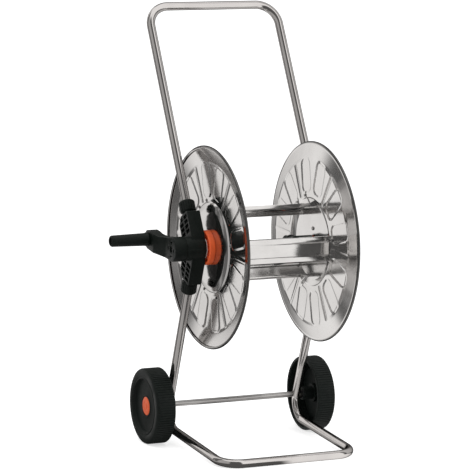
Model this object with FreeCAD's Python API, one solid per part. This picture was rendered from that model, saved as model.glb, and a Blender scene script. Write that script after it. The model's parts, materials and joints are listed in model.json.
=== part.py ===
"""Garden hose reel cart: bent steel tube cart, sheet-metal reel on plastic hubs, crank and two wheels.

Axes: X across the cart (crank at -X, water inlet at +X), -Y to the front foot, +Z up, ground at Z = 0.
The parts are drawn about the mid-plane X = 0 with the reel axle over Y = 0. Parts on the two sides are
drawn at +X and mirrored. The whole cart is moved at the end, so that the origin is at the centre of
the bottom of its bounding box.
"""
import FreeCAD, Part
import math
import os

Vector = FreeCAD.Vector

# Driving dimensions, in millimetres and degrees
TUBE_RADIUS = 9.0
TUBE_WALL = 1.2
FRAME_HALF_WIDTH = 148.5        # mid-plane to the centre line of a side tube
HUB_HEIGHT = 432.0
HANDLE_TOP = 912.0              # centre line of the handle's top bar
HANDLE_LEAN = 28.6              # handle tubes, back from upright
HANDLE_BEND = 46.0
AXLE_BACK = 139.0
AXLE_HEIGHT = 80.0
LEG_BEND = 40.0
FOOT_FRONT = -153.0
FOOT_BACK = 155.0
FOOT_BACK_HEIGHT = 33.5
FOOT_BEND = 42.0
TUBE_END = 25.0                 # hub axis to the end of a tube inside the bracket

WHEEL_RADIUS = 80.0
WHEEL_INNER = 165.0             # distances from the mid-plane
WHEEL_OUTER = 206.4
WHEEL_RECESS_RADIUS = 57.0
WHEEL_RECESS_FLOOR = 199.5
WHEEL_HUB_INNER = 163.0
WHEEL_HUB_OUTER = 189.0
WHEEL_HUB_RADIUS = 14.0
WHEEL_WEB = 4.5
WHEEL_TREAD = 7.0
CAP_SEAT = 17.0
CAP_RADIUS = 19.4
AXLE_RADIUS = 6.0
AXLE_HALF_LENGTH = 194.0
RUNNING_GAP = 0.06              # radial clearance of a shaft in its bore
END_GAP = 0.3                   # gap between faces that turn past each other

DISC_RADIUS = 210.0
BEAD_RADIUS = 3.0
RIM_PLANE = 122.2               # rolled edge of a disc, from the mid-plane
SHEET = 1.2
DISC_CENTRE = 117.5             # inner face of the disc's flat centre
DISC_HOLE = 12.2
STEP_RADIUS, STEP_PLANE = 93.5, 112.0       # where the raised centre's slope ends
PANEL_RADIUS, PANEL_PLANE = 171.0, 113.2    # where the rim's cone begins
DISC_PROFILE = (                # radius and inner face of the sheet, from the hub outwards
    (DISC_HOLE, DISC_CENTRE), (79.0, DISC_CENTRE), (91.0, 114.6), (STEP_RADIUS, STEP_PLANE),
    (PANEL_RADIUS, PANEL_PLANE), (178.0, 115.2), (204.6, 120.0),
)
REEL_TURN = -3.0                # angle of the front drum bar above the forward direction
SECTORS = 6                     # each sector of the disc has one rib and a pair of petals
PETAL_INNER, PETAL_OUTER, PETAL_WIDTH, PETAL_CORNER = 104.0, 175.0, 39.0, 14.0
PETAL_ANGLES = (17.0, 43.0)
RIB_INNER, RIB_OUTER, RIB_WIDTH = 98.0, 173.0, 7.0
EMBOSS = 2.0

BAR_ANGLES = {"front": 0.0, "top": 120.0, "rear": 240.0}
BAR_FACE = 78.5                 # hub axis to the bar's raised face
BAR_HALF_WIDTH = 25.0
BAR_STEP = 2.0
BAR_STEP_INNER, BAR_STEP_OUTER = 12.5, 14.5
BAR_FLANGE = 8.0
BAR_SHEET = 1.0
EAR_INNER, EAR_OUTER, EAR_WIDTH = 70.0, 105.0, 9.0
RIVET_ORBIT = 98.0
RIVET_ANGLE = 12.1              # either side of the bar's own angle
RIVET_RADIUS, RIVET_HEAD = 2.0, 3.6

BRACKET_INNER, BRACKET_OUTER = 134.0, 163.0
BRACKET_FRONT, BRACKET_REAR = 25.0, 25.0    # tube centre line to the bracket's front and rear edges
BRACKET_ARM = 74.0
BRACKET_CHAMFER = 14.0
BRACKET_APEX_BEND = 80.0
BOSS_RADIUS, BOSS_END = 25.0, 176.0
SOCKET_GAP = 0.05
NOSE_RADIUS, NOSE_END = 12.9, 97.0
COLLAR_RADIUS, COLLAR_START, COLLAR_END, COLLAR_LIP = 16.8, 78.0, 103.5, 101.5
COLLET_TOP_RADIUS = 11.0
COLLET_SLOT = 2.0
POCKET_DEPTH = 4.0
POCKETS = 4                     # rows of two on each arm of the bracket
POCKET_RIM = 4.5                # wall left beside the pockets
POCKET_SPINE = 5.0              # rib left between the two columns
POCKET_START, POCKET_PITCH, POCKET_LENGTH = 30.0, 10.5, 8.0

JOURNAL_RADIUS = 14.0
BUSH_RADIUS, BUSH_FLANGE_RADIUS, BUSH_FLANGE = 17.0, 24.0, 2.0
HUB_BARREL_RADIUS, HUB_BARREL_END, HUB_POCKET_FLOOR = 36.0, 131.7, 126.0
HUB_RIBS = 8
WATERWAY = 8.5
SPIGOT_RADIUS = 12.0
HUB_SCREWS = 4
HUB_SCREW_ORBIT, HUB_SCREW_ANGLE, HUB_SCREW_RADIUS, HUB_SCREW_HEAD = 28.0, 85.0, 2.0, 4.0

CRANK_START, CRANK_END = 177.0, 203.0       # the crank's hub, from the mid-plane
CRANK_HUB_RADIUS = 25.5
CRANK_THROW = 94.0
CRANK_ANGLE = 5.9                           # the arm, above straight back
CRANK_SOCKET = 17.0
CRANK_SOCKET_END = 193.0
GRIP_SEAT = 215.0
GRIP_END = 299.5
GRIP_ROOT_RADIUS, GRIP_TIP_RADIUS = 14.3, 11.9
PIN_RADIUS, PIN_HEAD_RADIUS, PIN_HEAD_START, PIN_HEAD_END = 5.0, 7.5, 292.3, 295.3

INLET_JOURNAL_END = 192.0
INLET_START, INLET_END = 177.4, 209.0
INLET_RADIUS = 20.0
INLET_PIPE = 199.0                          # centre line of the downward pipe
INLET_PIPE_RADIUS, INLET_PIPE_BORE = 10.5, 6.5
INLET_PIPE_LENGTH = 48.0
SEAL_PLACES = (185.6, 189.2)
SEAL_SECTION = 1.1
CLIP_PLACE = 181.5
CLIP_WIRE = 0.9
CLIP_OFFSET = 13.1
NIPPLE_LENGTH = 28.0
NIPPLE_RADIUS, NIPPLE_NECK_RADIUS, NIPPLE_HEX_RADIUS = 7.4, 6.0, 11.5
GASKET = 2.0
OUTLET_PLACE = 84.0                         # centre line of the outlet branch, from the mid-plane
OUTLET_LENGTH = 30.0

X_AXIS = Vector(1, 0, 0)
HUB_CENTRE = Vector(0, 0, HUB_HEIGHT)
AXLE_CENTRE = Vector(0, AXLE_BACK, AXLE_HEIGHT)
UP_TUBE = Vector(0, math.sin(math.radians(HANDLE_LEAN)), math.cos(math.radians(HANDLE_LEAN)))
LEG_CORNER = Vector(0, FOOT_BACK, FOOT_BACK_HEIGHT)
DOWN_TUBE = (LEG_CORNER - HUB_CENTRE).normalize()
UP_FRONT = Vector(0, -UP_TUBE.z, UP_TUBE.y)         # square to each tube, forwards
DOWN_FRONT = Vector(0, DOWN_TUBE.z, -DOWN_TUBE.y)


def across(x):
    """Point on the mid-plane normal at x."""
    return Vector(x, 0, 0)


def around_hub(angle, radius, x=0.0):
    """Point beside the reel axis, its angle counted from straight forward, upwards."""
    turn = math.radians(angle)
    return Vector(x, -radius * math.cos(turn), HUB_HEIGHT + radius * math.sin(turn))


def cylinder(radius, start, end, centre=HUB_CENTRE):
    """Cylinder along X between two distances from the mid-plane."""
    return Part.makeCylinder(radius, end - start, centre + across(start), X_AXIS)


def ring(outer, inner, start, end, centre=HUB_CENTRE):
    """Tube along X between two distances from the mid-plane."""
    return cylinder(outer, start, end, centre).cut(cylinder(inner, start, end, centre))


def turned(profile, centre=HUB_CENTRE):
    """Solid turned about the X direction through a centre, from (radius, x) corners."""
    corners = [centre + Vector(x, 0, radius) for radius, x in profile]
    face = Part.Face(Part.makePolygon(corners + corners[:1]))
    return face.revolve(centre, X_AXIS, 360)


def turned_along(profile, start, direction):
    """Solid turned about a line, from (radius, distance along it) corners."""
    side = X_AXIS
    corners = [start + side * radius + direction * distance for radius, distance in profile]
    face = Part.Face(Part.makePolygon(corners + corners[:1]))
    return face.revolve(start, direction, 360)


def rounded_path(corners, radii, closed=False):
    """Wire through the corners, each turned with its own radius, 0 for a sharp one."""
    if closed:
        triples = list(zip(corners[-1:] + corners[:-1], corners, corners[1:] + corners[:1]))
    else:
        triples = list(zip(corners, corners[1:], corners[2:]))
    stations, arcs = [], []
    for (before, corner, after), radius in zip(triples, radii):
        if radius == 0:
            stations.append((corner, corner))
            arcs.append(None)
            continue
        inward = (before - corner).normalize()
        outward = (after - corner).normalize()
        half = inward.getAngle(outward) / 2
        reach = radius / math.tan(half)
        centre = corner + (inward + outward).normalize() * (radius / math.sin(half))
        middle = centre + (corner - centre).normalize() * radius
        stations.append((corner + inward * reach, corner + outward * reach))
        arcs.append(middle)
    if not closed:
        stations = [(corners[0], corners[0])] + stations + [(corners[-1], corners[-1])]
        arcs = [None] + arcs + [None]
    edges = []
    following = stations[1:] + (stations[:1] if closed else [])
    for index, (start, end) in enumerate(stations):
        if arcs[index]:
            edges.append(Part.Arc(start, arcs[index], end).toShape())
        if index < len(following) and (following[index][0] - end).Length > 1e-6:
            edges.append(Part.LineSegment(end, following[index][0]).toShape())
    return Part.Wire(edges)


def prism(corners, radii, thickness):
    """Plate standing along X, from its outline at the starting face."""
    return Part.Face(rounded_path(corners, radii, closed=True)).extrude(across(thickness))


def mirrored(shape):
    """The same part on the other side of the mid-plane."""
    return shape.mirror(Vector(0, 0, 0), X_AXIS)


def fused(shapes):
    """One solid of several touching ones, without the seams."""
    return shapes[0].multiFuse(shapes[1:]).removeSplitter()


def bent_tube(corners, radii, side_holes=()):
    """Hollow tube along a bent path."""
    path = rounded_path(corners, radii)
    direction = corners[1] - corners[0]
    sweeps = []
    for radius in (TUBE_RADIUS, TUBE_RADIUS - TUBE_WALL):
        section = Part.Wire(Part.makeCircle(radius, corners[0], direction))
        sweeps.append(path.makePipeShell([section], True, False))
    return sweeps[0].cut(Part.makeCompound([sweeps[1], *side_holes]))


def handle_tube():
    """Upside-down U that leans back from the brackets."""
    foot = UP_TUBE * TUBE_END
    top = UP_TUBE * ((HANDLE_TOP - HUB_HEIGHT) / UP_TUBE.z)
    left, right = across(-FRAME_HALF_WIDTH), across(FRAME_HALF_WIDTH)
    stations = ((left, foot), (left, top), (right, top), (right, foot))
    return bent_tube([HUB_CENTRE + side + along for side, along in stations], [HANDLE_BEND] * 2)


def base_frame_tube():
    """Legs from the brackets to the axle, then the foot frame that runs forward on the ground."""
    top = HUB_CENTRE + DOWN_TUBE * TUBE_END
    half = [top, LEG_CORNER, Vector(0, FOOT_FRONT, TUBE_RADIUS)]
    left = [corner - across(FRAME_HALF_WIDTH) for corner in half]
    right = [corner + across(FRAME_HALF_WIDTH) for corner in reversed(half)]
    axle_hole = cylinder(AXLE_RADIUS, -WHEEL_INNER, WHEEL_INNER, AXLE_CENTRE)
    return bent_tube(left + right, [LEG_BEND, FOOT_BEND, FOOT_BEND, LEG_BEND], [axle_hole])


def bracket_outline():
    """Chevron in the side view, following the handle tube up and the leg down."""
    forward = (UP_FRONT + DOWN_FRONT).normalize()
    spread = forward.dot(UP_FRONT)
    short = BRACKET_ARM - BRACKET_CHAMFER
    shallow = BRACKET_REAR - BRACKET_CHAMFER
    corners = [
        UP_TUBE * BRACKET_ARM + UP_FRONT * BRACKET_FRONT,
        forward * (BRACKET_FRONT / spread),
        DOWN_TUBE * BRACKET_ARM + DOWN_FRONT * BRACKET_FRONT,
        DOWN_TUBE * BRACKET_ARM - DOWN_FRONT * shallow,
        DOWN_TUBE * short - DOWN_FRONT * BRACKET_REAR,
        forward * (-BRACKET_REAR / spread),
        UP_TUBE * short - UP_FRONT * BRACKET_REAR,
        UP_TUBE * BRACKET_ARM - UP_FRONT * shallow,
    ]
    start = HUB_CENTRE + across(BRACKET_INNER)
    return [start + corner for corner in corners], [3, BRACKET_APEX_BEND, 3, 2, 3, 12, 3, 2]


def bracket_pockets():
    """Two columns of pockets between the ribs on the outer face of each arm."""
    pockets = []
    start = HUB_CENTRE + across(BRACKET_OUTER - POCKET_DEPTH)
    middle = POCKET_SPINE / 2
    front_edge, rear_edge = BRACKET_FRONT - POCKET_RIM, BRACKET_REAR - POCKET_RIM
    chamfer = BRACKET_ARM + BRACKET_REAR - BRACKET_CHAMFER - 1.4 * POCKET_RIM
    for tube, front in ((UP_TUBE, UP_FRONT), (DOWN_TUBE, DOWN_FRONT)):
        for index in range(POCKETS):
            near = POCKET_START + POCKET_PITCH * index
            far = near + POCKET_LENGTH
            rear_near, rear_far = min(rear_edge, chamfer - near), min(rear_edge, chamfer - far)
            columns = (
                ((near, middle), (far, middle), (far, front_edge), (near, front_edge)),
                ((near, -middle), (far, -middle), (far, -rear_far), (near, -rear_near)),
            )
            for column in columns:
                corners = [start + tube * along + front * aside for along, aside in column]
                pockets.append(prism(corners, [1.2] * 4, POCKET_DEPTH * 2))
    return pockets


def hub_bracket():
    """Moulded bracket that joins handle and leg tubes and carries the reel's bush."""
    centre = HUB_CENTRE + across(FRAME_HALF_WIDTH)
    corners, radii = bracket_outline()
    block = prism(corners, radii, BRACKET_OUTER - BRACKET_INNER)
    noses = [Part.makeCylinder(NOSE_RADIUS, NOSE_END, centre, tube) for tube in (UP_TUBE, DOWN_TUBE)]
    solid = fused([block, cylinder(BOSS_RADIUS, BRACKET_INNER, BOSS_END), *noses])
    sockets = [
        Part.makeCylinder(TUBE_RADIUS + SOCKET_GAP, NOSE_END, centre + tube * TUBE_END, tube)
        for tube in (UP_TUBE, DOWN_TUBE)
    ]
    bore = cylinder(BUSH_RADIUS, BRACKET_INNER, BOSS_END)
    return solid.cut(Part.makeCompound([bore, *sockets, *bracket_pockets()]))


def collar_nut(tube):
    """Screw collar that closes the split collet on the tube."""
    centre = HUB_CENTRE + across(FRAME_HALF_WIDTH)
    inner_thread = NOSE_RADIUS + SOCKET_GAP
    profile = [
        (COLLAR_RADIUS - 3, COLLAR_START), (COLLAR_RADIUS, COLLAR_START + 3), (COLLAR_RADIUS, COLLAR_END - 3),
        (COLLAR_RADIUS - 3, COLLAR_END), (TUBE_RADIUS + 0.2, COLLAR_END), (TUBE_RADIUS + 0.2, COLLAR_LIP),
        (COLLET_TOP_RADIUS + SOCKET_GAP, COLLAR_LIP), (inner_thread, NOSE_END), (inner_thread, COLLAR_START),
    ]
    return turned_along(profile, centre, tube)


def tube_collets():
    """Four split rings that the collar nuts squeeze on the tubes."""
    collets = []
    for side in (-FRAME_HALF_WIDTH, FRAME_HALF_WIDTH):
        for tube in (UP_TUBE, DOWN_TUBE):
            centre = HUB_CENTRE + across(side)
            profile = [
                (TUBE_RADIUS, NOSE_END), (NOSE_RADIUS, NOSE_END),
                (COLLET_TOP_RADIUS, COLLAR_LIP), (TUBE_RADIUS, COLLAR_LIP),
            ]
            slot = Part.makeBox(COLLET_SLOT, 2 * NOSE_RADIUS, COLLAR_LIP - NOSE_END)
            slot.Placement = FreeCAD.Placement(centre + tube * NOSE_END - across(COLLET_SLOT / 2),
                                               FreeCAD.Rotation(X_AXIS, Vector(0, 0, 0), tube, "XZY"))
            collets.append(turned_along(profile, centre, tube).cut(slot))
    return Part.makeCompound(collets)


def bearing_bush():
    """Plain bush pressed in the bracket, with a thrust flange towards the reel."""
    bore = JOURNAL_RADIUS + RUNNING_GAP
    flange_start = BRACKET_INNER - BUSH_FLANGE
    return turned([
        (bore, flange_start), (BUSH_FLANGE_RADIUS, flange_start), (BUSH_FLANGE_RADIUS, BRACKET_INNER),
        (BUSH_RADIUS, BRACKET_INNER), (BUSH_RADIUS, BOSS_END), (bore, BOSS_END),
    ])


def axle():
    """Plain steel bar through both legs, with chamfered ends."""
    return turned([
        (0, -AXLE_HALF_LENGTH), (AXLE_RADIUS - 1, -AXLE_HALF_LENGTH), (AXLE_RADIUS, 1 - AXLE_HALF_LENGTH),
        (AXLE_RADIUS, AXLE_HALF_LENGTH - 1), (AXLE_RADIUS - 1, AXLE_HALF_LENGTH), (0, AXLE_HALF_LENGTH),
    ], AXLE_CENTRE)


def axle_spacer():
    """Short tube between the leg and the wheel."""
    leg_side = FRAME_HALF_WIDTH + TUBE_RADIUS
    return ring(AXLE_RADIUS + 4, AXLE_RADIUS, leg_side, WHEEL_HUB_INNER - END_GAP, AXLE_CENTRE)


def axle_clip():
    """Push-on star-lock cap that keeps the wheel on the axle."""
    start = WHEEL_HUB_OUTER + END_GAP
    return turned([
        (AXLE_RADIUS, start), (AXLE_RADIUS + 6, start), (AXLE_RADIUS + 6, start + 0.8),
        (AXLE_RADIUS + 2, start + 1.4), (AXLE_RADIUS, start + 3),
    ], AXLE_CENTRE)


def wheel():
    """Moulded wheel: tread ring, recessed web and hub, hollow on its inner side."""
    bore = AXLE_RADIUS + RUNNING_GAP
    web_inner = WHEEL_RECESS_FLOOR - WHEEL_WEB
    tread_inner = WHEEL_RADIUS - WHEEL_TREAD
    return turned([
        (WHEEL_RADIUS - 2, WHEEL_INNER), (WHEEL_RADIUS, WHEEL_INNER + 2),
        (WHEEL_RADIUS, WHEEL_OUTER - 3), (WHEEL_RADIUS - 2.5, WHEEL_OUTER),
        (WHEEL_RECESS_RADIUS + 3, WHEEL_OUTER), (WHEEL_RECESS_RADIUS, WHEEL_RECESS_FLOOR),
        (CAP_SEAT, WHEEL_RECESS_FLOOR), (CAP_SEAT, WHEEL_HUB_OUTER),
        (bore, WHEEL_HUB_OUTER), (bore, WHEEL_HUB_INNER), (WHEEL_HUB_RADIUS, WHEEL_HUB_INNER),
        (WHEEL_HUB_RADIUS, WHEEL_HUB_OUTER - 3), (CAP_SEAT + 3, WHEEL_HUB_OUTER - 3),
        (CAP_SEAT + 3, web_inner), (WHEEL_RECESS_RADIUS, web_inner),
        (WHEEL_RECESS_RADIUS + 3, WHEEL_OUTER - 4), (tread_inner, WHEEL_OUTER - 4), (tread_inner, WHEEL_INNER),
    ], AXLE_CENTRE)


def wheel_cap():
    """Round trim cap pushed in the wheel's hub."""
    return turned([
        (0, WHEEL_OUTER - 5), (CAP_RADIUS - 5, WHEEL_OUTER - 5.2), (CAP_RADIUS, WHEEL_OUTER - 6),
        (CAP_RADIUS, WHEEL_RECESS_FLOOR), (CAP_SEAT, WHEEL_RECESS_FLOOR), (CAP_SEAT, WHEEL_HUB_OUTER + 4),
        (CAP_SEAT - 1.5, WHEEL_HUB_OUTER + 4), (CAP_SEAT - 1.5, WHEEL_RECESS_FLOOR - 1),
        (0, WHEEL_RECESS_FLOOR - 1),
    ], AXLE_CENTRE)


def sheet_layer(inner_shift, outer_shift):
    """Turned layer of the disc between two offsets from its inner face."""
    inner = [(radius, x + inner_shift) for radius, x in DISC_PROFILE]
    outer = [(radius, x + outer_shift) for radius, x in DISC_PROFILE]
    return turned(inner + outer[::-1])


def emboss_outline(inner, outer, width, corner, angle, grow):
    """Rounded rectangle along a spoke, grown all round by the sheet's thickness."""
    half = width / 2 + grow
    spoke = around_hub(angle, 1) - HUB_CENTRE
    side = around_hub(angle + 90, 1) - HUB_CENTRE
    start = HUB_CENTRE + across(STEP_PLANE - 2)
    spans = ((inner - grow, -half), (outer + grow, -half), (outer + grow, half), (inner - grow, half))
    corners = [start + spoke * along + side * aside for along, aside in spans]
    return prism(corners, [corner + grow] * 4, RIM_PLANE - STEP_PLANE)


def embossings(grow):
    """Prisms of all the petals and ribs pressed in a disc."""
    shapes = []
    for index in range(SECTORS):
        rib = REEL_TURN + 360 * index / SECTORS
        shapes.append(emboss_outline(RIB_INNER, RIB_OUTER, RIB_WIDTH, RIB_WIDTH / 2 - 0.1, rib, grow))
        for offset in PETAL_ANGLES:
            petal = rib + offset
            shapes.append(emboss_outline(PETAL_INNER, PETAL_OUTER, PETAL_WIDTH, PETAL_CORNER, petal, grow))
    return Part.makeCompound(shapes)


def rivet_angles():
    """Angles of the rivets that hold the drum bars' ears."""
    return [REEL_TURN + bar + side * RIVET_ANGLE for bar in BAR_ANGLES.values() for side in (-1, 1)]


def hub_screw_angles():
    """Angles of the screws that hold a plastic hub to its disc."""
    return [HUB_SCREW_ANGLE + 360 * index / HUB_SCREWS for index in range(HUB_SCREWS)]


def reel_disc():
    """Pressed side disc: flat centre, petals and ribs pressed outwards, cone rim and rolled edge."""
    inside, outside = embossings(0), embossings(SHEET)
    flat = sheet_layer(0, SHEET).cut(inside)
    raised = sheet_layer(EMBOSS, EMBOSS + SHEET).common(outside)
    walls = sheet_layer(0, EMBOSS + SHEET).common(outside).cut(inside)
    bead = Part.makeTorus(DISC_RADIUS - BEAD_RADIUS, BEAD_RADIUS, HUB_CENTRE + across(RIM_PLANE), X_AXIS)
    centres = [(RIVET_RADIUS, around_hub(angle, RIVET_ORBIT)) for angle in rivet_angles()]
    centres += [(HUB_SCREW_RADIUS, around_hub(angle, HUB_SCREW_ORBIT)) for angle in hub_screw_angles()]
    holes = [cylinder(radius, STEP_PLANE - 1, RIM_PLANE, centre) for radius, centre in centres]
    return fused([flat, raised, walls, bead]).cut(Part.makeCompound(holes))


def bar_section():
    """Stepped channel section of a drum bar, as (distance from the axis, sideways) corners."""
    face, step = BAR_FACE, BAR_FACE - BAR_STEP
    outer = [
        (step - BAR_FLANGE, BAR_HALF_WIDTH), (step, BAR_HALF_WIDTH),
        (step, BAR_STEP_OUTER), (face, BAR_STEP_INNER),
    ]
    slant = BAR_SHEET / 3
    inner = [
        (step - BAR_FLANGE, BAR_HALF_WIDTH - BAR_SHEET), (step - BAR_SHEET, BAR_HALF_WIDTH - BAR_SHEET),
        (step - BAR_SHEET, BAR_STEP_OUTER - slant), (face - BAR_SHEET, BAR_STEP_INNER - slant),
    ]
    outside = outer + [(out, -aside) for out, aside in outer[::-1]]
    return outside + [(out, -aside) for out, aside in inner] + inner[::-1]


def drum_bar(angle):
    """Channel bar between the discs, with two riveted ears at each end."""
    turn = REEL_TURN + angle
    spoke = around_hub(turn, 1) - HUB_CENTRE
    side = around_hub(turn + 90, 1) - HUB_CENTRE
    start = HUB_CENTRE - across(DISC_CENTRE)
    corners = [start + spoke * out + side * aside for out, aside in bar_section()]
    channel = Part.Face(Part.makePolygon(corners + corners[:1])).extrude(across(2 * DISC_CENTRE))
    beyond = sheet_layer(0, BRACKET_INNER)
    channel = channel.cut(Part.makeCompound([beyond, mirrored(beyond)]))
    layer = sheet_layer(-BAR_SHEET, 0)
    ears = []
    for near in (-BAR_HALF_WIDTH, BAR_HALF_WIDTH - EAR_WIDTH):
        far = near + EAR_WIDTH
        spans = ((EAR_INNER, near), (EAR_OUTER, near), (EAR_OUTER, far), (EAR_INNER, far))
        base = HUB_CENTRE + across(STEP_PLANE - 2)
        outline = [base + spoke * out + side * aside for out, aside in spans]
        ears.append(layer.common(prism(outline, [0, 3, 3, 0], 20)))
    ears += [mirrored(ear) for ear in ears]
    holes = [
        cylinder(RIVET_RADIUS, -RIM_PLANE, RIM_PLANE, around_hub(turn + offset, RIVET_ORBIT))
        for offset in (-RIVET_ANGLE, RIVET_ANGLE)
    ]
    return fused([channel, *ears]).cut(Part.makeCompound(holes))


def bar_rivets():
    """Rivets through the ears and the discs, with domed heads outside."""
    slope = (PANEL_PLANE - STEP_PLANE) / (PANEL_RADIUS - STEP_RADIUS)
    seat = STEP_PLANE + (RIVET_ORBIT - STEP_RADIUS) * slope
    outside, inside = seat + SHEET + 0.1, seat - BAR_SHEET - 0.1
    profile = [
        (0, inside - 1.2), (RIVET_HEAD - 1, inside - 1.2), (RIVET_HEAD - 0.6, inside), (RIVET_RADIUS, inside),
        (RIVET_RADIUS, outside), (RIVET_HEAD, outside), (RIVET_HEAD - 1, outside + 1.4), (0, outside + 2),
    ]
    rivets = [turned(profile, around_hub(angle, RIVET_ORBIT)) for angle in rivet_angles()]
    return Part.makeCompound(rivets + [mirrored(rivet) for rivet in rivets])


def hub_screws():
    """Screws from inside the drum through each disc into its plastic hub."""
    profile = [
        (0, DISC_CENTRE - 2.4), (HUB_SCREW_HEAD - 1, DISC_CENTRE - 2.4), (HUB_SCREW_HEAD, DISC_CENTRE - 1.2),
        (HUB_SCREW_HEAD, DISC_CENTRE), (HUB_SCREW_RADIUS, DISC_CENTRE),
        (HUB_SCREW_RADIUS, HUB_POCKET_FLOOR - 3), (0, HUB_POCKET_FLOOR - 2),
    ]
    screws = [turned(profile, around_hub(angle, HUB_SCREW_ORBIT)) for angle in hub_screw_angles()]
    return Part.makeCompound(screws + [mirrored(screw) for screw in screws])


def reel_hub(journal_end, spigot_end):
    """Plastic hub: pilot through the disc, ribbed barrel and the journal that turns in the bush."""
    seat = DISC_CENTRE + SHEET
    barrel = turned([
        (0, spigot_end), (SPIGOT_RADIUS, spigot_end), (SPIGOT_RADIUS, seat), (HUB_BARREL_RADIUS - 0.8, seat),
        (HUB_BARREL_RADIUS, seat + 0.8), (HUB_BARREL_RADIUS, HUB_BARREL_END - 2),
        (HUB_BARREL_RADIUS - 2, HUB_BARREL_END), (HUB_BARREL_RADIUS - 3.5, HUB_BARREL_END),
        (HUB_BARREL_RADIUS - 3.5, HUB_POCKET_FLOOR), (JOURNAL_RADIUS + 4, HUB_POCKET_FLOOR),
        (JOURNAL_RADIUS + 4, HUB_BARREL_END), (JOURNAL_RADIUS, HUB_BARREL_END),
        (JOURNAL_RADIUS, journal_end), (0, journal_end),
    ])
    ribs = []
    for index in range(HUB_RIBS):
        rib = Part.makeBox(HUB_BARREL_END - 2 - HUB_POCKET_FLOOR, 2.4, 16)
        rib.translate(HUB_CENTRE + Vector(HUB_POCKET_FLOOR, -1.2, JOURNAL_RADIUS + 3))
        rib.rotate(HUB_CENTRE, X_AXIS, 360 * index / HUB_RIBS)
        ribs.append(rib)
    pilot_holes = [
        turned([(0, DISC_CENTRE), (HUB_SCREW_RADIUS, DISC_CENTRE), (HUB_SCREW_RADIUS, HUB_POCKET_FLOOR - 3),
                (0, HUB_POCKET_FLOOR - 2)], around_hub(angle, HUB_SCREW_ORBIT))
        for angle in hub_screw_angles()
    ]
    return fused([barrel, *ribs]).cut(Part.makeCompound(pilot_holes))


def reel_hub_crank_side():
    """Solid journal with a square stub for the crank and a hole for its screw."""
    hub = reel_hub(BOSS_END + 0.4, DISC_CENTRE - 2)
    stub = Part.makeBox(CRANK_SOCKET_END - BOSS_END, CRANK_SOCKET, CRANK_SOCKET)
    stub.translate(HUB_CENTRE + Vector(BOSS_END, -CRANK_SOCKET / 2, -CRANK_SOCKET / 2))
    stub.rotate(HUB_CENTRE, X_AXIS, CRANK_ANGLE)
    screw_hole = cylinder(3.0, 170, CRANK_SOCKET_END)
    return mirrored(fused([hub, stub]).cut(screw_hole))


def seal_groove(place):
    """Groove for a seal ring round the water journal."""
    return ring(JOURNAL_RADIUS + 1, JOURNAL_RADIUS - 2 * SEAL_SECTION, place - 1.3, place + 1.3)


def reel_hub_water_side():
    """Hollow journal with grooves for the seals and the clip."""
    hub = reel_hub(INLET_JOURNAL_END, 92)
    waterway = cylinder(WATERWAY, 92, INLET_JOURNAL_END)
    clip_groove = ring(JOURNAL_RADIUS + 1, CLIP_OFFSET - CLIP_WIRE - 0.4, CLIP_PLACE - 1.4, CLIP_PLACE + 1.4)
    return hub.cut(Part.makeCompound([waterway, clip_groove, *map(seal_groove, SEAL_PLACES)]))


def crank_directions():
    """Unit vectors along the crank arm and square to it, in the side view."""
    along = around_hub(180 - CRANK_ANGLE, 1) - HUB_CENTRE
    return along, Vector(0, -along.z, along.y)


def crank_grip_centre():
    """Where the crank grip's axis crosses the mid-plane."""
    return around_hub(180 - CRANK_ANGLE, CRANK_THROW)


def crank_arm():
    """Moulded crank: round hub on the journal's stub and an arm that steps outwards to the grip."""
    along, square = crank_directions()
    start = HUB_CENTRE + across(CRANK_START)
    reach = CRANK_THROW + 19.5
    plan = [
        (-6, 21), (20, 20), (52, 14.5), (80, 19), (reach, 19.5),
        (reach, -19.5), (CRANK_THROW - 26, -22), (20, -24), (-6, -22),
    ]
    outline = [start + along * out + square * aside for out, aside in plan]
    height = GRIP_SEAT - CRANK_START
    plate = prism(outline, [0, 20, 30, 30, 18.9, 18.9, 50, 20, 0], height)
    side = [
        (-30, 0), (30, 0), (68, height - 21), (reach + 2, height - 21),
        (reach + 2, height), (66, height), (28, CRANK_END - CRANK_START), (-30, CRANK_END - CRANK_START),
    ]
    profile = [start + along * out + across(x) - square * 40 for out, x in side]
    slab = Part.Face(rounded_path(profile, [0, 14, 14, 0, 0, 14, 14, 0], closed=True)).extrude(square * 80)
    hub = cylinder(CRANK_HUB_RADIUS, CRANK_START, CRANK_END)
    hub = hub.makeChamfer(1.5, [edge for edge in hub.Edges if abs(edge.BoundBox.XMin - CRANK_END) < 0.01])
    solid = fused([hub, plate.common(slab)])
    socket = Part.makeBox(CRANK_SOCKET_END - CRANK_START, CRANK_SOCKET, CRANK_SOCKET)
    socket.translate(HUB_CENTRE + Vector(CRANK_START, -CRANK_SOCKET / 2, -CRANK_SOCKET / 2))
    socket.rotate(HUB_CENTRE, X_AXIS, CRANK_ANGLE)
    cuts = [
        socket, cylinder(3.0, CRANK_START, GRIP_SEAT), cylinder(7.0, CRANK_SOCKET_END + 3, GRIP_SEAT + 1),
        cylinder(PIN_RADIUS - 1, GRIP_SEAT - 18, GRIP_SEAT, crank_grip_centre()),
    ]
    for index in range(4):
        centre = around_hub(90 * index - CRANK_ANGLE, 14.5, CRANK_END - 8)
        slot_along = (centre - HUB_CENTRE - across(centre.x)).normalize()
        slot_square = Vector(0, -slot_along.z, slot_along.y)
        spans = ((-2, -4), (2, -4), (2, 4), (-2, 4))
        corners = [centre + slot_along * out + slot_square * aside for out, aside in spans]
        cuts.append(prism(corners, [1.9] * 4, 30))
    return mirrored(solid.cut(Part.makeCompound(cuts)))


def crank_screw():
    """Screw through the crank's hub into the journal."""
    seat = CRANK_SOCKET_END + 3
    return mirrored(turned([
        (0, 171), (3, 171), (3, seat), (6, seat), (6, seat + 3), (4, seat + 4), (0, seat + 4),
    ]))


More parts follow.
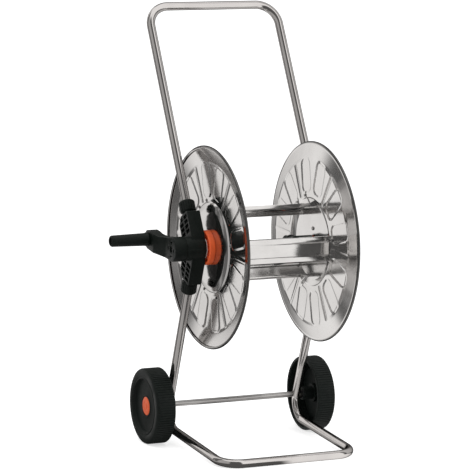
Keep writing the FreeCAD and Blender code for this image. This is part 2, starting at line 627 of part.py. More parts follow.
def crank_pin():
    """Shoulder bolt that the grip turns on."""
    thread_end = GRIP_SEAT - 17.5
    return mirrored(turned([
        (0, thread_end), (PIN_RADIUS - 1, thread_end), (PIN_RADIUS - 1, GRIP_SEAT), (PIN_RADIUS, GRIP_SEAT),
        (PIN_RADIUS, PIN_HEAD_START), (PIN_HEAD_RADIUS, PIN_HEAD_START), (PIN_HEAD_RADIUS, PIN_HEAD_END - 1),
        (PIN_HEAD_RADIUS - 1.5, PIN_HEAD_END), (0, PIN_HEAD_END),
    ], crank_grip_centre()))


def crank_grip():
    """Turning plastic grip, slightly tapered, with the bolt's head sunk in its end."""
    bore = PIN_RADIUS + RUNNING_GAP
    head_bore = PIN_HEAD_RADIUS + 0.6
    start, seat = GRIP_SEAT + 0.4, PIN_HEAD_START - END_GAP
    root, tip = GRIP_ROOT_RADIUS, GRIP_TIP_RADIUS
    return mirrored(turned([
        (bore, start), (root - 1, start), (root, start + 1), (root, start + 6), (root - 0.8, start + 9),
        (tip, GRIP_END - 4), (tip - 1.2, GRIP_END - 1), (tip - 3, GRIP_END),
        (head_bore, GRIP_END), (head_bore, seat), (bore, seat),
    ], crank_grip_centre()))


def inlet_elbow():
    """Swivel elbow that turns on the water journal, with its pipe hanging down."""
    down = Vector(0, 0, -1)
    pipe_top = HUB_CENTRE + across(INLET_PIPE)
    cap = turned([
        (0, INLET_START), (INLET_RADIUS, INLET_START), (INLET_RADIUS, INLET_END - 5),
        (INLET_RADIUS - 2, INLET_END - 1.5), (INLET_RADIUS - 5, INLET_END), (0, INLET_END),
    ])
    pipe = Part.makeCylinder(INLET_PIPE_RADIUS, INLET_PIPE_LENGTH, pipe_top, down)
    collar = Part.makeCylinder(NIPPLE_HEX_RADIUS, 10, pipe_top + down * (INLET_PIPE_LENGTH - 10), down)
    socket = cylinder(JOURNAL_RADIUS + RUNNING_GAP, INLET_START, INLET_JOURNAL_END + 0.6)
    chamber = cylinder(11, INLET_JOURNAL_END, INLET_END - 3)
    bore = Part.makeCylinder(INLET_PIPE_BORE, INLET_PIPE_LENGTH, pipe_top, down)
    slots = [
        Part.makeCylinder(CLIP_WIRE, 60, HUB_CENTRE + Vector(CLIP_PLACE, offset, -16), Vector(0, 0, 1))
        for offset in (-CLIP_OFFSET, CLIP_OFFSET)
    ]
    return fused([cap, pipe, collar]).cut(Part.makeCompound([socket, chamber, bore, *slots]))


def inlet_clip():
    """U-shaped wire clip through the elbow, running in the journal's groove."""
    top = INLET_RADIUS + 5
    base = HUB_CENTRE + across(CLIP_PLACE)
    spans = ((-CLIP_OFFSET, -15), (-CLIP_OFFSET, top), (CLIP_OFFSET, top), (CLIP_OFFSET, -15))
    corners = [base + Vector(0, y, z) for y, z in spans]
    section = Part.Wire(Part.makeCircle(CLIP_WIRE, corners[0], Vector(0, 0, 1)))
    return rounded_path(corners, [4, 4]).makePipeShell([section], True, False)


def swivel_seals():
    """Rubber rings in the grooves of the water journal."""
    rings = [
        Part.makeTorus(JOURNAL_RADIUS - SEAL_SECTION, SEAL_SECTION, HUB_CENTRE + across(place), X_AXIS)
        for place in SEAL_PLACES
    ]
    return Part.makeCompound(rings)


def hose_nipple(start, direction):
    """Quick-connect nipple: hexagon, neck groove and the barrel that a hose connector snaps on."""
    hexagon = Part.makeCylinder(NIPPLE_HEX_RADIUS, 6, start, direction)
    profile = [
        (0, 5), (8.6, 5), (8.6, 11), (NIPPLE_NECK_RADIUS, 11.8), (NIPPLE_NECK_RADIUS, 14.2),
        (NIPPLE_RADIUS, 15), (NIPPLE_RADIUS, NIPPLE_LENGTH - 1), (NIPPLE_RADIUS - 1, NIPPLE_LENGTH),
        (0, NIPPLE_LENGTH),
    ]
    bore = Part.makeCylinder(4.5, NIPPLE_LENGTH, start, direction)
    return fused([hexagon, turned_along(profile, start, direction)]).cut(bore)


def washer(start, direction):
    """Flat rubber washer between a pipe's end and its nipple."""
    outer = Part.makeCylinder(NIPPLE_HEX_RADIUS - 1, GASKET, start, direction)
    return outer.cut(Part.makeCylinder(INLET_PIPE_BORE, GASKET, start, direction))


def outlet_elbow():
    """Elbow inside the drum that turns the water from the journal to the hose's first turn."""
    back = Vector(0, 1, 0)
    branch_start = HUB_CENTRE + across(OUTLET_PLACE)
    body = turned([
        (0, OUTLET_PLACE - 13), (10, OUTLET_PLACE - 13), (14, OUTLET_PLACE - 9),
        (14, DISC_CENTRE - 3), (0, DISC_CENTRE - 3),
    ])
    branch = Part.makeCylinder(10.5, OUTLET_LENGTH, branch_start, back)
    cavity = cylinder(WATERWAY, OUTLET_PLACE - 8, 93)
    socket = cylinder(SPIGOT_RADIUS, 92, DISC_CENTRE)
    bore = Part.makeCylinder(INLET_PIPE_BORE, OUTLET_LENGTH, branch_start, back)
    return fused([body, branch]).cut(Part.makeCompound([cavity, socket, bore]))


def build_nodes():
    """Every separate piece of the cart by name, about the mid-plane."""
    nodes = {
        "handle_tube": handle_tube(),
        "base_frame_tube": base_frame_tube(),
        "tube_collets": tube_collets(),
        "axle": axle(),
        "bar_rivets": bar_rivets(),
        "hub_screws": hub_screws(),
        "reel_hub_left": reel_hub_crank_side(),
        "reel_hub_right": reel_hub_water_side(),
        "crank_arm": crank_arm(),
        "crank_screw": crank_screw(),
        "crank_pin": crank_pin(),
        "crank_grip": crank_grip(),
        "inlet_elbow": inlet_elbow(),
        "inlet_clip": inlet_clip(),
        "swivel_seals": swivel_seals(),
        "outlet_elbow": outlet_elbow(),
    }
    paired = {
        "hub_bracket": hub_bracket(),
        "collar_nut_upper": collar_nut(UP_TUBE),
        "collar_nut_lower": collar_nut(DOWN_TUBE),
        "bearing_bush": bearing_bush(),
        "axle_spacer": axle_spacer(),
        "axle_clip": axle_clip(),
        "wheel": wheel(),
        "wheel_cap": wheel_cap(),
        "disc": reel_disc(),
    }
    for name, shape in paired.items():
        nodes[name + "_right"] = shape
        nodes[name + "_left"] = mirrored(shape)
    for name, angle in BAR_ANGLES.items():
        nodes["drum_bar_" + name] = drum_bar(angle)
    inlet_end = HUB_CENTRE + Vector(INLET_PIPE, 0, -INLET_PIPE_LENGTH)
    outlet_end = HUB_CENTRE + Vector(OUTLET_PLACE, OUTLET_LENGTH, 0)
    hose_ends = (("inlet", inlet_end, Vector(0, 0, -1)), ("outlet", outlet_end, Vector(0, 1, 0)))
    for name, end, direction in hose_ends:
        nodes[name + "_washer"] = washer(end, direction)
        nodes[name + "_nipple"] = hose_nipple(end + direction * GASKET, direction)
    return nodes


def main():
    """Build the cart, centre it over its footprint and write one file per piece."""
    nodes = build_nodes()
    handle_back = (HANDLE_TOP - HUB_HEIGHT) * UP_TUBE.y / UP_TUBE.z + TUBE_RADIUS
    shift = Vector((GRIP_END - INLET_END) / 2, (DISC_RADIUS - handle_back) / 2, 0)
    print("moved by", shift)
    print("hub", HUB_CENTRE + shift, "axle", AXLE_CENTRE + shift, "grip", crank_grip_centre() + shift)
    os.makedirs("parts", exist_ok=True)
    for name, shape in sorted(nodes.items()):
        shape.translate(shift)
        if not shape.isValid() or shape.Volume <= 0:
            print("check", name, shape.isValid(), shape.Volume)
        shape.exportStep("parts/" + name + ".step")
    print(len(nodes), "pieces")


if __name__ == "__main__":
    main()
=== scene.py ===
"""Garden hose reel cart: the looks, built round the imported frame.

Bright bent tubes, two polished pressed discs on a drum of rolled bars, black moulded brackets, collars, crank
and wheels, and orange hubs and caps. Everything is in metres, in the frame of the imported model: +X towards the
water inlet, -Y towards the front foot, +Z up, ground at Z = 0.
"""
from __future__ import annotations

import json
import logging
import math
from contextlib import contextmanager
from dataclasses import dataclass, field
from enum import Enum
from typing import Callable, Iterator, Sequence

import bpy
from mathutils import Matrix, Vector

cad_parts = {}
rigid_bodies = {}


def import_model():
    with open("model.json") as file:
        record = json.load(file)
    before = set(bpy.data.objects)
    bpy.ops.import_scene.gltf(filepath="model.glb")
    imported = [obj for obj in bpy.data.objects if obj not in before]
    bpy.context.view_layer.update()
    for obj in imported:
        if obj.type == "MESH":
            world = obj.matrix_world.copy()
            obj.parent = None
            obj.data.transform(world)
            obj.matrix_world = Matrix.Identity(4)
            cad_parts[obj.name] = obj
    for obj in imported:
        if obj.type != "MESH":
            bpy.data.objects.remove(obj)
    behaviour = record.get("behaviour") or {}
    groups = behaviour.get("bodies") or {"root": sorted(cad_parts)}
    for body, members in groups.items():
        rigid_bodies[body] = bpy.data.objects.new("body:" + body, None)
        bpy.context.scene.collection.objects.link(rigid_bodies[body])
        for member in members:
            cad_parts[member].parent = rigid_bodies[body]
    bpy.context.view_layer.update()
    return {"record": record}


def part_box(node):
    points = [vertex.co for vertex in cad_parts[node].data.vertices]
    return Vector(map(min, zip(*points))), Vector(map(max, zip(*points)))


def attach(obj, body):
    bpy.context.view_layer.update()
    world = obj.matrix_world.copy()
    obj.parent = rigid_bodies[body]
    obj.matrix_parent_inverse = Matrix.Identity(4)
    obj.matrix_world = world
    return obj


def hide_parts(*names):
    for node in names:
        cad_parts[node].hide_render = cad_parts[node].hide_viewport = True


LOG = logging.getLogger("hose_cart")
X_AXIS = Vector((1.0, 0.0, 0.0))
MM = 0.001
SHARP_EDGE = math.radians(32.0)

Piece = bpy.types.Object
Colour = tuple[float, float, float]
Point = tuple[float, float]


class Side(Enum):
    """The cart's two sides; the value is the sign of X."""

    LEFT = -1
    RIGHT = 1

    @property
    def label(self) -> str:
        """The ending of this side's node names."""
        return self.name.lower()


class Grain(Enum):
    """How the fine lines of a metal run; the value is the stretch of the noise along X, Y and Z."""

    ALONG_CART = (2.0, 260.0, 260.0)
    UP_AND_DOWN = (260.0, 260.0, 14.0)
    ALL_ROUND = (120.0, 120.0, 120.0)


# Bench work: selecting, drawing and shaping one piece


def choose(piece: Piece) -> None:
    """Select one piece alone and make it active.

    Args:
        piece: The piece to work on.
    """
    for other in bpy.context.scene.objects:
        other.select_set(False)
    piece.select_set(True)
    bpy.context.view_layer.objects.active = piece


@contextmanager
def editing(piece: Piece, mode: str = "VERT") -> Iterator[None]:
    """Edit mode on one piece.

    Args:
        piece: The mesh to edit.
        mode: VERT, EDGE or FACE selection.
    """
    choose(piece)
    bpy.ops.object.mode_set(mode="EDIT")
    bpy.ops.mesh.select_mode(type=mode)
    yield
    bpy.ops.object.mode_set(mode="OBJECT")


def pick_faces(piece: Piece, wanted: Callable[[bpy.types.MeshPolygon], bool]) -> None:
    """Select the faces that pass a test, and nothing else.

    Args:
        piece: The mesh, in object mode.
        wanted: The test of one face.
    """
    mesh = piece.data
    for part in (*mesh.vertices, *mesh.edges):
        part.select = False
    for face in mesh.polygons:
        face.select = wanted(face)


def draw_line(name: str, points: Sequence[Vector]) -> Piece:
    """Draw a line of edges, one extruded from the other.

    Args:
        name: The new piece's name.
        points: The corners in order.

    Returns:
        The piece, a bare line.
    """
    bpy.ops.mesh.primitive_plane_add(size=MM)
    piece = bpy.context.active_object
    piece.name = piece.data.name = name
    with editing(piece):
        bpy.ops.mesh.select_all(action="SELECT")
        bpy.ops.mesh.merge(type="CENTER")
        bpy.ops.transform.translate(value=points[0])
        for start, end in zip(points, points[1:]):
            bpy.ops.mesh.extrude_vertices_move(TRANSFORM_OT_translate={"value": end - start})
    return piece


def close_up(piece: Piece) -> None:
    """Merge doubles and turn every face outwards.

    Args:
        piece: The mesh to close.
    """
    with editing(piece):
        bpy.ops.mesh.select_all(action="SELECT")
        bpy.ops.mesh.remove_doubles(threshold=0.00001)
        bpy.ops.mesh.normals_make_consistent(inside=False)


def turn_on_lathe(name: str, profile: Sequence[Point], centre: Vector, steps: int) -> Piece:
    """Turn a profile about the X direction.

    Args:
        name: The new piece's name.
        profile: Corners as (radius, X) from the centre.
        centre: A point on the axis.
        steps: Faces round the piece.

    Returns:
        The turned piece, its faces outwards.
    """
    piece = draw_line(name, [centre + Vector((x, 0.0, radius)) for radius, x in profile])
    with editing(piece):
        bpy.ops.mesh.select_all(action="SELECT")
        bpy.ops.mesh.spin(steps=steps, angle=2.0 * math.pi, center=centre, axis=X_AXIS)
    close_up(piece)
    return piece


def add_modifier(piece: Piece, kind: str, **settings: object) -> None:
    """Put a modifier on a piece, set it and apply it.

    Args:
        piece: The piece to change.
        kind: The modifier's type.
        settings: Its values by name.
    """
    choose(piece)
    modifier = piece.modifiers.new(kind.title(), kind)
    for setting, value in settings.items():
        setattr(modifier, setting, value)
    bpy.ops.object.modifier_apply(modifier=modifier.name)


def smooth(piece: Piece, angle: float = 35.0) -> None:
    """Shade smooth, with the sharper edges kept.

    Args:
        piece: The piece to shade.
        angle: The sharpness in degrees from which an edge is kept.
    """
    choose(piece)
    bpy.ops.object.shade_smooth_by_angle(angle=math.radians(angle))


def twin(piece: Piece, name: str, mirror_x: float | None = None) -> Piece:
    """Copy a piece with its own mesh.

    Args:
        piece: The piece to copy.
        name: The copy's name.
        mirror_x: The plane X = mirror_x to mirror the copy in, if any.

    Returns:
        The copy.
    """
    copy = piece.copy()
    copy.data = piece.data.copy()
    copy.name = copy.data.name = name
    bpy.context.scene.collection.objects.link(copy)
    if mirror_x is not None:
        mirror = Matrix.Diagonal((-1.0, 1.0, 1.0, 1.0))
        copy.data.transform(Matrix.Translation((2.0 * mirror_x, 0.0, 0.0)) @ mirror)
        copy.data.flip_normals()
    return copy


def eased_copy(node: str, name: str, width: float, segments: int) -> Piece:
    """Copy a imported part's shape and ease its sharp edges, as a mould or a tumbler does.

    Args:
        node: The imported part.
        name: The new piece's name.
        width: The width of the eased edge.
        segments: Faces across the eased edge.

    Returns:
        The eased copy.
    """
    piece = twin(bpy.data.objects[node], name)
    for key in [key for key in piece.keys() if key.startswith("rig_")]:
        del piece[key]
    piece.parent = None
    with editing(piece):
        bpy.ops.mesh.select_all(action="SELECT")
        bpy.ops.mesh.remove_doubles(threshold=0.000002)
        bpy.ops.mesh.dissolve_limited(angle_limit=math.radians(0.6))
    add_modifier(
        piece, "BEVEL", width=width, segments=segments, limit_method="ANGLE", angle_limit=SHARP_EDGE,
        use_clamp_overlap=True, harden_normals=False,
    )
    smooth(piece, 40.0)
    return piece


def arc_points(centre: Point, radius: float, start: float, end: float, steps: int) -> list[Point]:
    """Points along an arc in a profile.

    Args:
        centre: The arc's centre.
        radius: Its radius.
        start: Its first angle in degrees, from the first coordinate to the second.
        end: Its last angle.
        steps: Parts that it is divided in.

    Returns:
        The points, both ends with them.
    """
    angles = [math.radians(start + (end - start) * step / steps) for step in range(steps + 1)]
    return [(centre[0] + radius * math.cos(turn), centre[1] + radius * math.sin(turn)) for turn in angles]


def eased_profile(corners: Sequence[Point], radius: float, steps: int = 3) -> list[Point]:
    """Round every inner corner of a profile.

    Args:
        corners: The profile's corners.
        radius: How far each corner is cut back, at most.
        steps: Parts of each rounded corner.

    Returns:
        The profile with rounded corners.
    """
    points = [corners[0]]
    for before, corner, after in zip(corners, corners[1:], corners[2:]):
        here = Vector(corner)
        arms = [Vector(other) - here for other in (before, after)]
        reach = min(radius, *(arm.length * 0.45 for arm in arms))
        start, end = (here + arm.normalized() * reach for arm in arms)
        for step in range(steps + 1):
            share = step / steps
            point = start * (1 - share) ** 2 + here * (2 * share * (1 - share)) + end * share ** 2
            points.append((point.x, point.y))
    return [*points, corners[-1]]


def hand_over(piece: Piece, body: str, slot: str, finish: bpy.types.Material, *nodes: str) -> None:
    """Dress a finished piece, put it on its body and report it.

    Args:
        piece: The finished piece.
        body: The body that it rides on.
        slot: The record's material slot.
        finish: Its material.
        nodes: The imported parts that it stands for.
    """
    piece.data.materials.clear()
    piece.data.materials.append(finish)
    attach(piece, body)
    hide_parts(*nodes)
    LOG.info("%s: %d faces on %s", piece.name, len(piece.data.polygons), body)


# Finishes


class NodeBoard:
    """Places and links shader nodes in one tree."""

    def __init__(self, tree: bpy.types.NodeTree) -> None:
        """Start on an empty tree."""
        self.tree = tree
        tree.nodes.clear()

    def add(self, kind: str, inputs: dict[str | int, object] | None = None, **settings: object) -> bpy.types.Node:
        """Add a node.

        Args:
            kind: The node's type.
            inputs: Socket names with a value, or with a socket to link from.
            settings: The node's own properties.

        Returns:
            The node.
        """
        node = self.tree.nodes.new(kind)
        for setting, value in settings.items():
            setattr(node, setting, value)
        for socket, value in (inputs or {}).items():
            if isinstance(value, bpy.types.NodeSocket):
                self.tree.links.new(value, node.inputs[socket])
            else:
                node.inputs[socket].default_value = value
        return node

    def group(self, effect: bpy.types.NodeTree, **inputs: object) -> bpy.types.Node:
        """Place an effect.

        Args:
            effect: The shared effect.
            inputs: Its own values, with underscores for the spaces in their names.

        Returns:
            The effect's node.
        """
        node = self.tree.nodes.new("ShaderNodeGroup")
        node.node_tree = effect
        for socket, value in inputs.items():
            node.inputs[socket.replace("_", " ")].default_value = value
        return node

    def blend(self, mask: bpy.types.NodeSocket, low: Colour, high: Colour) -> bpy.types.NodeSocket:
        """Colour between two, by a mask.

        Args:
            mask: Where each colour lies, 0 to 1.
            low: The colour at 0.
            high: The colour at 1.

        Returns:
            The mixed colour.
        """
        mix = self.add("ShaderNodeMix", {0: mask}, data_type="RGBA")
        mix.inputs["A"].default_value = (*low, 1.0)
        mix.inputs["B"].default_value = (*high, 1.0)
        return mix.outputs["Result"]

    def between(self, mask: bpy.types.NodeSocket, low: float, high: float) -> bpy.types.NodeSocket:
        """Value between two, by a mask.

        Args:
            mask: Where each value lies, 0 to 1.
            low: The value at 0.
            high: The value at 1.

        Returns:
            The mixed value.
        """
        spread = self.add("ShaderNodeMapRange", {"Value": mask, "To Min": low, "To Max": high})
        return spread.outputs["Result"]


def new_effect(name: str, inputs: dict[str, float], outputs: Sequence[str]) -> tuple[bpy.types.NodeTree, NodeBoard]:
    """Start a shared effect.

    Args:
        name: The effect's name.
        inputs: Its inputs with their first values.
        outputs: Its outputs.

    Returns:
        The node group and a board to fill it on.
    """
    effect = bpy.data.node_groups.new(name, "ShaderNodeTree")
    for socket, value in inputs.items():
        effect.interface.new_socket(name=socket, in_out="INPUT", socket_type="NodeSocketFloat").default_value = value
    for socket in outputs:
        effect.interface.new_socket(name=socket, in_out="OUTPUT", socket_type="NodeSocketFloat")
    return effect, NodeBoard(effect)


class Effects:
    """The effects that several finishes share, each built once."""

    def __init__(self) -> None:
        """Build the effects."""
        self.smudges = self.build_smudges()
        self.moulded = self.build_moulded()
        self.rubbed = self.build_rubbed()
        self.dust = self.build_dust()

    def build_smudges(self) -> bpy.types.NodeTree:
        """Large soft patches and small spots, as hands and water leave on metal.

        Returns:
            The effect.
        """
        effect, board = new_effect("soft_smudges", {"Patch Scale": 9.0, "Spot Scale": 90.0}, ["Patch", "Spots"])
        group_in = board.add("NodeGroupInput")
        place = board.add("ShaderNodeTexCoord").outputs["Object"]
        patch = board.add("ShaderNodeTexNoise", {
            "Vector": place, "Scale": group_in.outputs["Patch Scale"], "Detail": 3.0, "Roughness": 0.6})
        spots = board.add("ShaderNodeTexNoise", {
            "Vector": place, "Scale": group_in.outputs["Spot Scale"], "Detail": 4.0, "Roughness": 0.65})
        spread = board.add("ShaderNodeMapRange", {
            "Value": patch.outputs["Fac"], "From Min": 0.35, "From Max": 0.68}, interpolation_type="SMOOTHSTEP")
        dots = board.add("ShaderNodeMapRange", {
            "Value": spots.outputs["Fac"], "From Min": 0.62, "From Max": 0.74}, interpolation_type="SMOOTHSTEP")
        board.add("NodeGroupOutput", {"Patch": spread.outputs["Result"], "Spots": dots.outputs["Result"]})
        return effect

    def build_moulded(self) -> bpy.types.NodeTree:
        """Fine spark-eroded grain and faint flow mottling of moulded plastic.

        Returns:
            The effect.
        """
        effect, board = new_effect("moulded_grain", {"Grain Scale": 1400.0, "Flow Scale": 26.0}, ["Grain", "Flow"])
        group_in = board.add("NodeGroupInput")
        place = board.add("ShaderNodeTexCoord").outputs["Object"]
        grain = board.add("ShaderNodeTexVoronoi", {
            "Vector": place, "Scale": group_in.outputs["Grain Scale"]}, feature="SMOOTH_F1")
        flow = board.add("ShaderNodeTexNoise", {
            "Vector": place, "Scale": group_in.outputs["Flow Scale"], "Detail": 3.0, "Distortion": 0.6})
        spread = board.add("ShaderNodeMapRange", {
            "Value": flow.outputs["Fac"], "From Min": 0.32, "From Max": 0.68})
        board.add("NodeGroupOutput", {"Grain": grain.outputs["Distance"], "Flow": spread.outputs["Result"]})
        return effect

    def build_rubbed(self) -> bpy.types.NodeTree:
        """Mask of outer edges that hands and ground rub, broken up by noise.

        Returns:
            The effect.
        """
        effect, board = new_effect("rubbed_edges", {"Low": 0.52, "High": 0.62}, ["Mask"])
        group_in = board.add("NodeGroupInput")
        place = board.add("ShaderNodeTexCoord").outputs["Object"]
        edge = board.add("ShaderNodeNewGeometry").outputs["Pointiness"]
        spread = board.add("ShaderNodeMapRange", {
            "Value": edge, "From Min": group_in.outputs["Low"], "From Max": group_in.outputs["High"]})
        noise = board.add("ShaderNodeTexNoise", {"Vector": place, "Scale": 140.0, "Detail": 3.0})
        broken = board.add("ShaderNodeMapRange", {
            "Value": noise.outputs["Fac"], "From Min": 0.36, "From Max": 0.62})
        mask = board.add("ShaderNodeMath", {
            0: spread.outputs["Result"], 1: broken.outputs["Result"]}, operation="MULTIPLY")
        board.add("NodeGroupOutput", {"Mask": mask.outputs["Value"]})
        return effect

    def build_dust(self) -> bpy.types.NodeTree:
        """Mask of the thin dust that lies on what faces up.

        Returns:
            The effect.
        """
        effect, board = new_effect("settled_dust", {"Amount": 0.25, "Scale": 60.0}, ["Mask"])
        group_in = board.add("NodeGroupInput")
        place = board.add("ShaderNodeTexCoord").outputs["Object"]
        normal = board.add("ShaderNodeNewGeometry").outputs["Normal"]
        upwards = board.add("ShaderNodeSeparateXYZ", {0: normal}).outputs["Z"]
        facing = board.add("ShaderNodeMapRange", {"Value": upwards, "From Min": 0.1, "From Max": 1.0})
        noise = board.add("ShaderNodeTexNoise", {
            "Vector": place, "Scale": group_in.outputs["Scale"], "Detail": 4.0})
        laid = board.add("ShaderNodeMath", {
            0: facing.outputs["Result"], 1: noise.outputs["Fac"]}, operation="MULTIPLY")
        mask = board.add("ShaderNodeMath", {
            0: laid.outputs["Value"], 1: group_in.outputs["Amount"]}, operation="MULTIPLY")
        board.add("NodeGroupOutput", {"Mask": mask.outputs["Value"]})
        return effect


@dataclass(frozen=True)
class MetalFinish:
    """A bare or plated metal with fine lines, smudges and spots."""

    name: str
    colour: Colour
    tarnish: Colour
    roughness: float
    smudge_roughness: float
    grain: Grain
    grain_depth: float
    edge_tint: float

    def make(self, effects: Effects) -> bpy.types.Material:
        """Build the material.

        Args:
            effects: The shared effects.

        Returns:
            The material.
        """
        material = bpy.data.materials.new(self.name)
        material.use_nodes = True
        board = NodeBoard(material.node_tree)
        smudge = board.group(effects.smudges, Patch_Scale=11.0, Spot_Scale=150.0)
        place = board.add("ShaderNodeTexCoord").outputs["Object"]
        stretched = board.add("ShaderNodeMapping", {"Vector": place, "Scale": self.grain.value})
        lines = board.add("ShaderNodeTexNoise", {
            "Vector": stretched.outputs["Vector"], "Scale": 4.0, "Detail": 4.0, "Roughness": 0.6})
        bump = board.add("ShaderNodeBump", {
            "Height": lines.outputs["Fac"], "Strength": self.grain_depth, "Distance": 0.0002})
        surface = board.add("ShaderNodeBsdfPrincipled", {
            "Base Color": board.blend(smudge.outputs["Patch"], self.colour, self.tarnish),
            "Roughness": board.between(smudge.outputs["Spots"], self.roughness, self.smudge_roughness),
            "Specular Tint": (self.edge_tint, self.edge_tint, self.edge_tint, 1.0),
            "Metallic": 1.0, "Normal": bump.outputs["Normal"]})
        board.add("ShaderNodeOutputMaterial", {"Surface": surface.outputs["BSDF"]})
        return material


@dataclass(frozen=True)
class SpunSheetFinish:
    """Polished sheet with the faint rings of spinning and polishing, and a painted dark reflection on its rolled
    edge.
    """

    name: str
    colour: Colour
    tarnish: Colour
    roughness: float
    ring_roughness: float
    ring_scale: float
    ring_depth: float
    edge_tint: float = 0.45
    # Radii and level of the painted dark reflection: the colour is darkened on the rolled edge by radius.
    painted_reflection_start: float = 205.2 * MM
    painted_reflection_full: float = 207.8 * MM
    painted_reflection_level: float = 0.2

    def make(self, effects: Effects, hub: Vector) -> bpy.types.Material:
        """Build the material.

        Args:
            effects: The shared effects.
            hub: A point on the axis that the rings run round.

        Returns:
            The material.
        """
        material = bpy.data.materials.new(self.name)
        material.use_nodes = True
        board = NodeBoard(material.node_tree)
        smudge = board.group(effects.smudges, Patch_Scale=7.0, Spot_Scale=110.0)
        place = board.add("ShaderNodeTexCoord").outputs["Object"]
        centred = board.add("ShaderNodeMapping", {
            "Vector": place, "Location": (0.0, -hub.y, -hub.z), "Scale": (0.0, 1.0, 1.0)})
        radius = board.add("ShaderNodeVectorMath", {0: centred.outputs["Vector"]}, operation="LENGTH")
        rings = board.add("ShaderNodeTexNoise", {
            "W": radius.outputs["Value"], "Scale": self.ring_scale, "Detail": 3.0}, noise_dimensions="1D")
        bump = board.add("ShaderNodeBump", {
            "Height": rings.outputs["Fac"], "Strength": self.ring_depth, "Distance": 0.0002})
        # Painted dark reflection: the base colour is darkened by radius on the rolled edge, down to a fifth at the
        # bead.
        bead = board.add("ShaderNodeMapRange", {
            "Value": radius.outputs["Value"], "From Min": self.painted_reflection_start, "From Max": self.painted_reflection_full,
            "To Min": 1.0, "To Max": self.painted_reflection_level})
        colour_with_painted_reflection = board.add("ShaderNodeVectorMath", {
            0: board.blend(smudge.outputs["Patch"], self.colour, self.tarnish), 1: bead.outputs["Result"]},
            operation="MULTIPLY")
        surface = board.add("ShaderNodeBsdfPrincipled", {
            "Base Color": colour_with_painted_reflection.outputs["Vector"],
            "Roughness": board.between(rings.outputs["Fac"], self.roughness, self.ring_roughness),
            "Specular Tint": (self.edge_tint, self.edge_tint, self.edge_tint, 1.0),
            "Metallic": 1.0, "Normal": bump.outputs["Normal"]})
        board.add("ShaderNodeOutputMaterial", {"Surface": surface.outputs["BSDF"]})
        return material


@dataclass(frozen=True)
class PlasticFinish:
    """A moulded plastic or rubber with grain, flow marks, rubbed edges and dust."""

    name: str
    colour: Colour
    flow_colour: Colour
    rubbed_colour: Colour
    dust_colour: Colour
    dust: float
    roughness: float
    flow_roughness: float
    grain_scale: float
    grain_depth: float

    def make(self, effects: Effects) -> bpy.types.Material:
        """Build the material.

        Args:
            effects: The shared effects.

        Returns:
            The material.
        """
        material = bpy.data.materials.new(self.name)
        material.use_nodes = True
        board = NodeBoard(material.node_tree)
        moulded = board.group(effects.moulded, Grain_Scale=self.grain_scale, Flow_Scale=30.0)
        rubbed = board.group(effects.rubbed)
        dusty = board.group(effects.dust, Amount=self.dust)
        colour = board.blend(moulded.outputs["Flow"], self.colour, self.flow_colour)
        for mask, layer in ((rubbed, self.rubbed_colour), (dusty, self.dust_colour)):
            mix = board.add("ShaderNodeMix", {0: mask.outputs["Mask"]}, data_type="RGBA")
            board.tree.links.new(colour, mix.inputs["A"])
            mix.inputs["B"].default_value = (*layer, 1.0)
            colour = mix.outputs["Result"]
        bump = board.add("ShaderNodeBump", {
            "Height": moulded.outputs["Grain"], "Strength": self.grain_depth, "Distance": 0.0004})
        surface = board.add("ShaderNodeBsdfPrincipled", {
            "Base Color": colour,
            "Roughness": board.between(moulded.outputs["Flow"], self.roughness, self.flow_roughness),
            "Normal": bump.outputs["Normal"], "IOR": 1.49, "Specular IOR Level": 0.3})
        board.add("ShaderNodeOutputMaterial", {"Surface": surface.outputs["BSDF"]})
        return material


